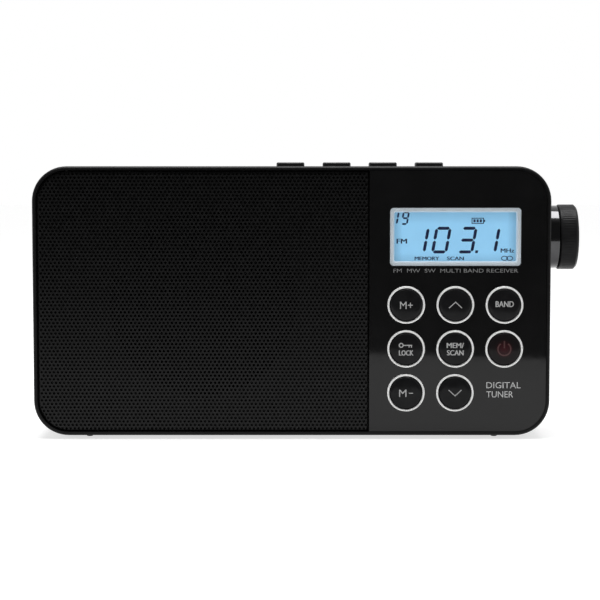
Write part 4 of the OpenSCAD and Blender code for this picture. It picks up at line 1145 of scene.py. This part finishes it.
class RADIO_OT_antenna(RadioPart, bpy.types.Operator):
    """The telescopic antenna: the second to fourth tubes with rolled ends, and the tip"""

    bl_idname = "radio.antenna"
    bl_label = "Antenna"

    def execute(self, context):
        _, y, z = middle("antenna_tip")
        radii = [3.5, 3.0, 2.5, 2.0, 1.5]
        for number in range(2, TUBES + 1):
            node = f"antenna_tube_{number}"
            low, high = low_high(node)
            radius, bore = radii[number - 1], radii[number] + 0.05
            profile = rounded([(bore, low[0]), (radius, low[0]), (radius, high[0]), (bore, high[0]),
                               (bore, low[0])], (0.05, 0.35, 0.08), 6)
            tube = revolved(profile, (0, y, z), 0, 48)
            make_piece(f"tube_{number}", tube, "antenna_chrome", node, [node])
        low, high = low_high("antenna_tip")
        tip_r, rod_r, tip_l, groove = 3.4, radii[4], 6.0, 0.5
        end = high[0]
        neck = end - tip_l
        profile = rounded([(0, low[0]), (rod_r, low[0]), (rod_r, neck), (tip_r, neck), (tip_r, end - 4.2),
                           (tip_r - groove, end - 3.7), (tip_r - groove, end - 3.2), (tip_r, end - 2.7),
                           (tip_r, end), (0, end)],
                          (0.1, 0.05, 0.5, 0.1, 0.1, 0.1, 0.1, 1.1), 6)
        tip = revolved(profile, (0, y, z), 0, 48)
        make_piece("tip_knob", tip, "antenna_chrome", "antenna_tip", ["antenna_tip"])
        return {"FINISHED"}


class RADIO_OT_case_marks(RadioPart, bpy.types.Operator):
    """Small plain signs beside the sockets and on the battery door"""

    bl_idname = "radio.case_marks"
    bl_label = "Case marks"

    def execute(self, context):
        self.thin = thin = context.scene.radio_sizes.print_thickness
        side = low_high("front_shell")[0][0]
        behind = -6.2
        left = [stood(moved(shape, behind, 0), (side + thin, *middle(node)[1:]), FACING_LEFT)
                for node, shapes in (("earphone_jack", self.phones()), ("dc_jack", self.supply()))
                for shape in shapes]
        make_piece("socket_signs", joined(left), "print_white", "case")
        door = middle("battery_door")
        back = low_high("battery_door")[1][1]
        arrow = prism([(-2.2, -1.2), (0, 1.4), (2.2, -1.2)], thin)
        make_piece("door_arrow", stood(arrow, (door[0], back - thin, door[2] + 7.5), FACING_BACK),
                   "print_white", "battery_door")
        return {"FINISHED"}

    def phones(self):
        """Headphones: a half ring and two pads."""
        band = moved(ribbon(arc(1.6, 0, 180, 20), 0.35, self.thin), 0, -0.3)
        pad = np.array([(0, -1.5), (0.8, -1.5), (0.8, 0), (0, 0)])
        return [band, *(prism(pad + (x, 0), self.thin) for x in (-2.0, 1.2))]

    def supply(self):
        """Direct current: a bar over three dashes."""
        line = ribbon([(-1.9, 0.45), (1.9, 0.45)], 0.35, self.thin)
        dashes = [ribbon([(x - 0.5, -0.45), (x + 0.5, -0.45)], 0.35, self.thin) for x in (-1.4, 0, 1.4)]
        return [line, *dashes]


class RADIO_PT_panel(bpy.types.Panel):
    """The steps of the radio, in the order they are made"""

    bl_idname = "RADIO_PT_panel"
    bl_label = "Tabletop Radio"
    bl_space_type = "VIEW_3D"
    bl_region_type = "UI"
    bl_category = "Radio"

    def draw(self, context):
        for operator in OPERATORS:
            self.layout.operator(operator.bl_idname)
        for group in (context.scene.radio_sizes, context.scene.radio_colours, context.scene.radio_studio):
            box = self.layout.box()
            for name in group.bl_rna.properties.keys():
                if name not in ("rna_type", "name"):
                    box.prop(group, name)


GROUPS = (("radio_sizes", RadioSizes), ("radio_colours", RadioColours), ("radio_studio", RadioStudio))
OPERATORS = (
    RADIO_OT_studio,
    RADIO_OT_finishes,
    RADIO_OT_grille,
    RADIO_OT_fascia_prints,
    RADIO_OT_display,
    RADIO_OT_button_rings,
    RADIO_OT_front_buttons,
    RADIO_OT_top_keys,
    RADIO_OT_knob,
    RADIO_OT_feet,
    RADIO_OT_antenna,
    RADIO_OT_case_marks,
)


def register():
    """Makes the settings, the operators and the panel known to Blender."""
    for name, group in GROUPS:
        bpy.utils.register_class(group)
        setattr(bpy.types.Scene, name, bpy.props.PointerProperty(type=group))
    for operator in OPERATORS:
        bpy.utils.register_class(operator)
    bpy.utils.register_class(RADIO_PT_panel)


def unregister():
    """Takes them away again."""
    bpy.utils.unregister_class(RADIO_PT_panel)
    for operator in reversed(OPERATORS):
        bpy.utils.unregister_class(operator)
    for name, group in reversed(GROUPS):
        delattr(bpy.types.Scene, name)
        bpy.utils.unregister_class(group)


def plain(box):
    """A pair of corners as plain lists."""
    return [[float(v) for v in corner] for corner in box]


def main():
    """Builds the whole radio in order."""
    register()
    for operator in OPERATORS:
        group, name = operator.bl_idname.split(".")
        getattr(getattr(bpy.ops, group), name)()


if __name__ == "__main__":
    main()
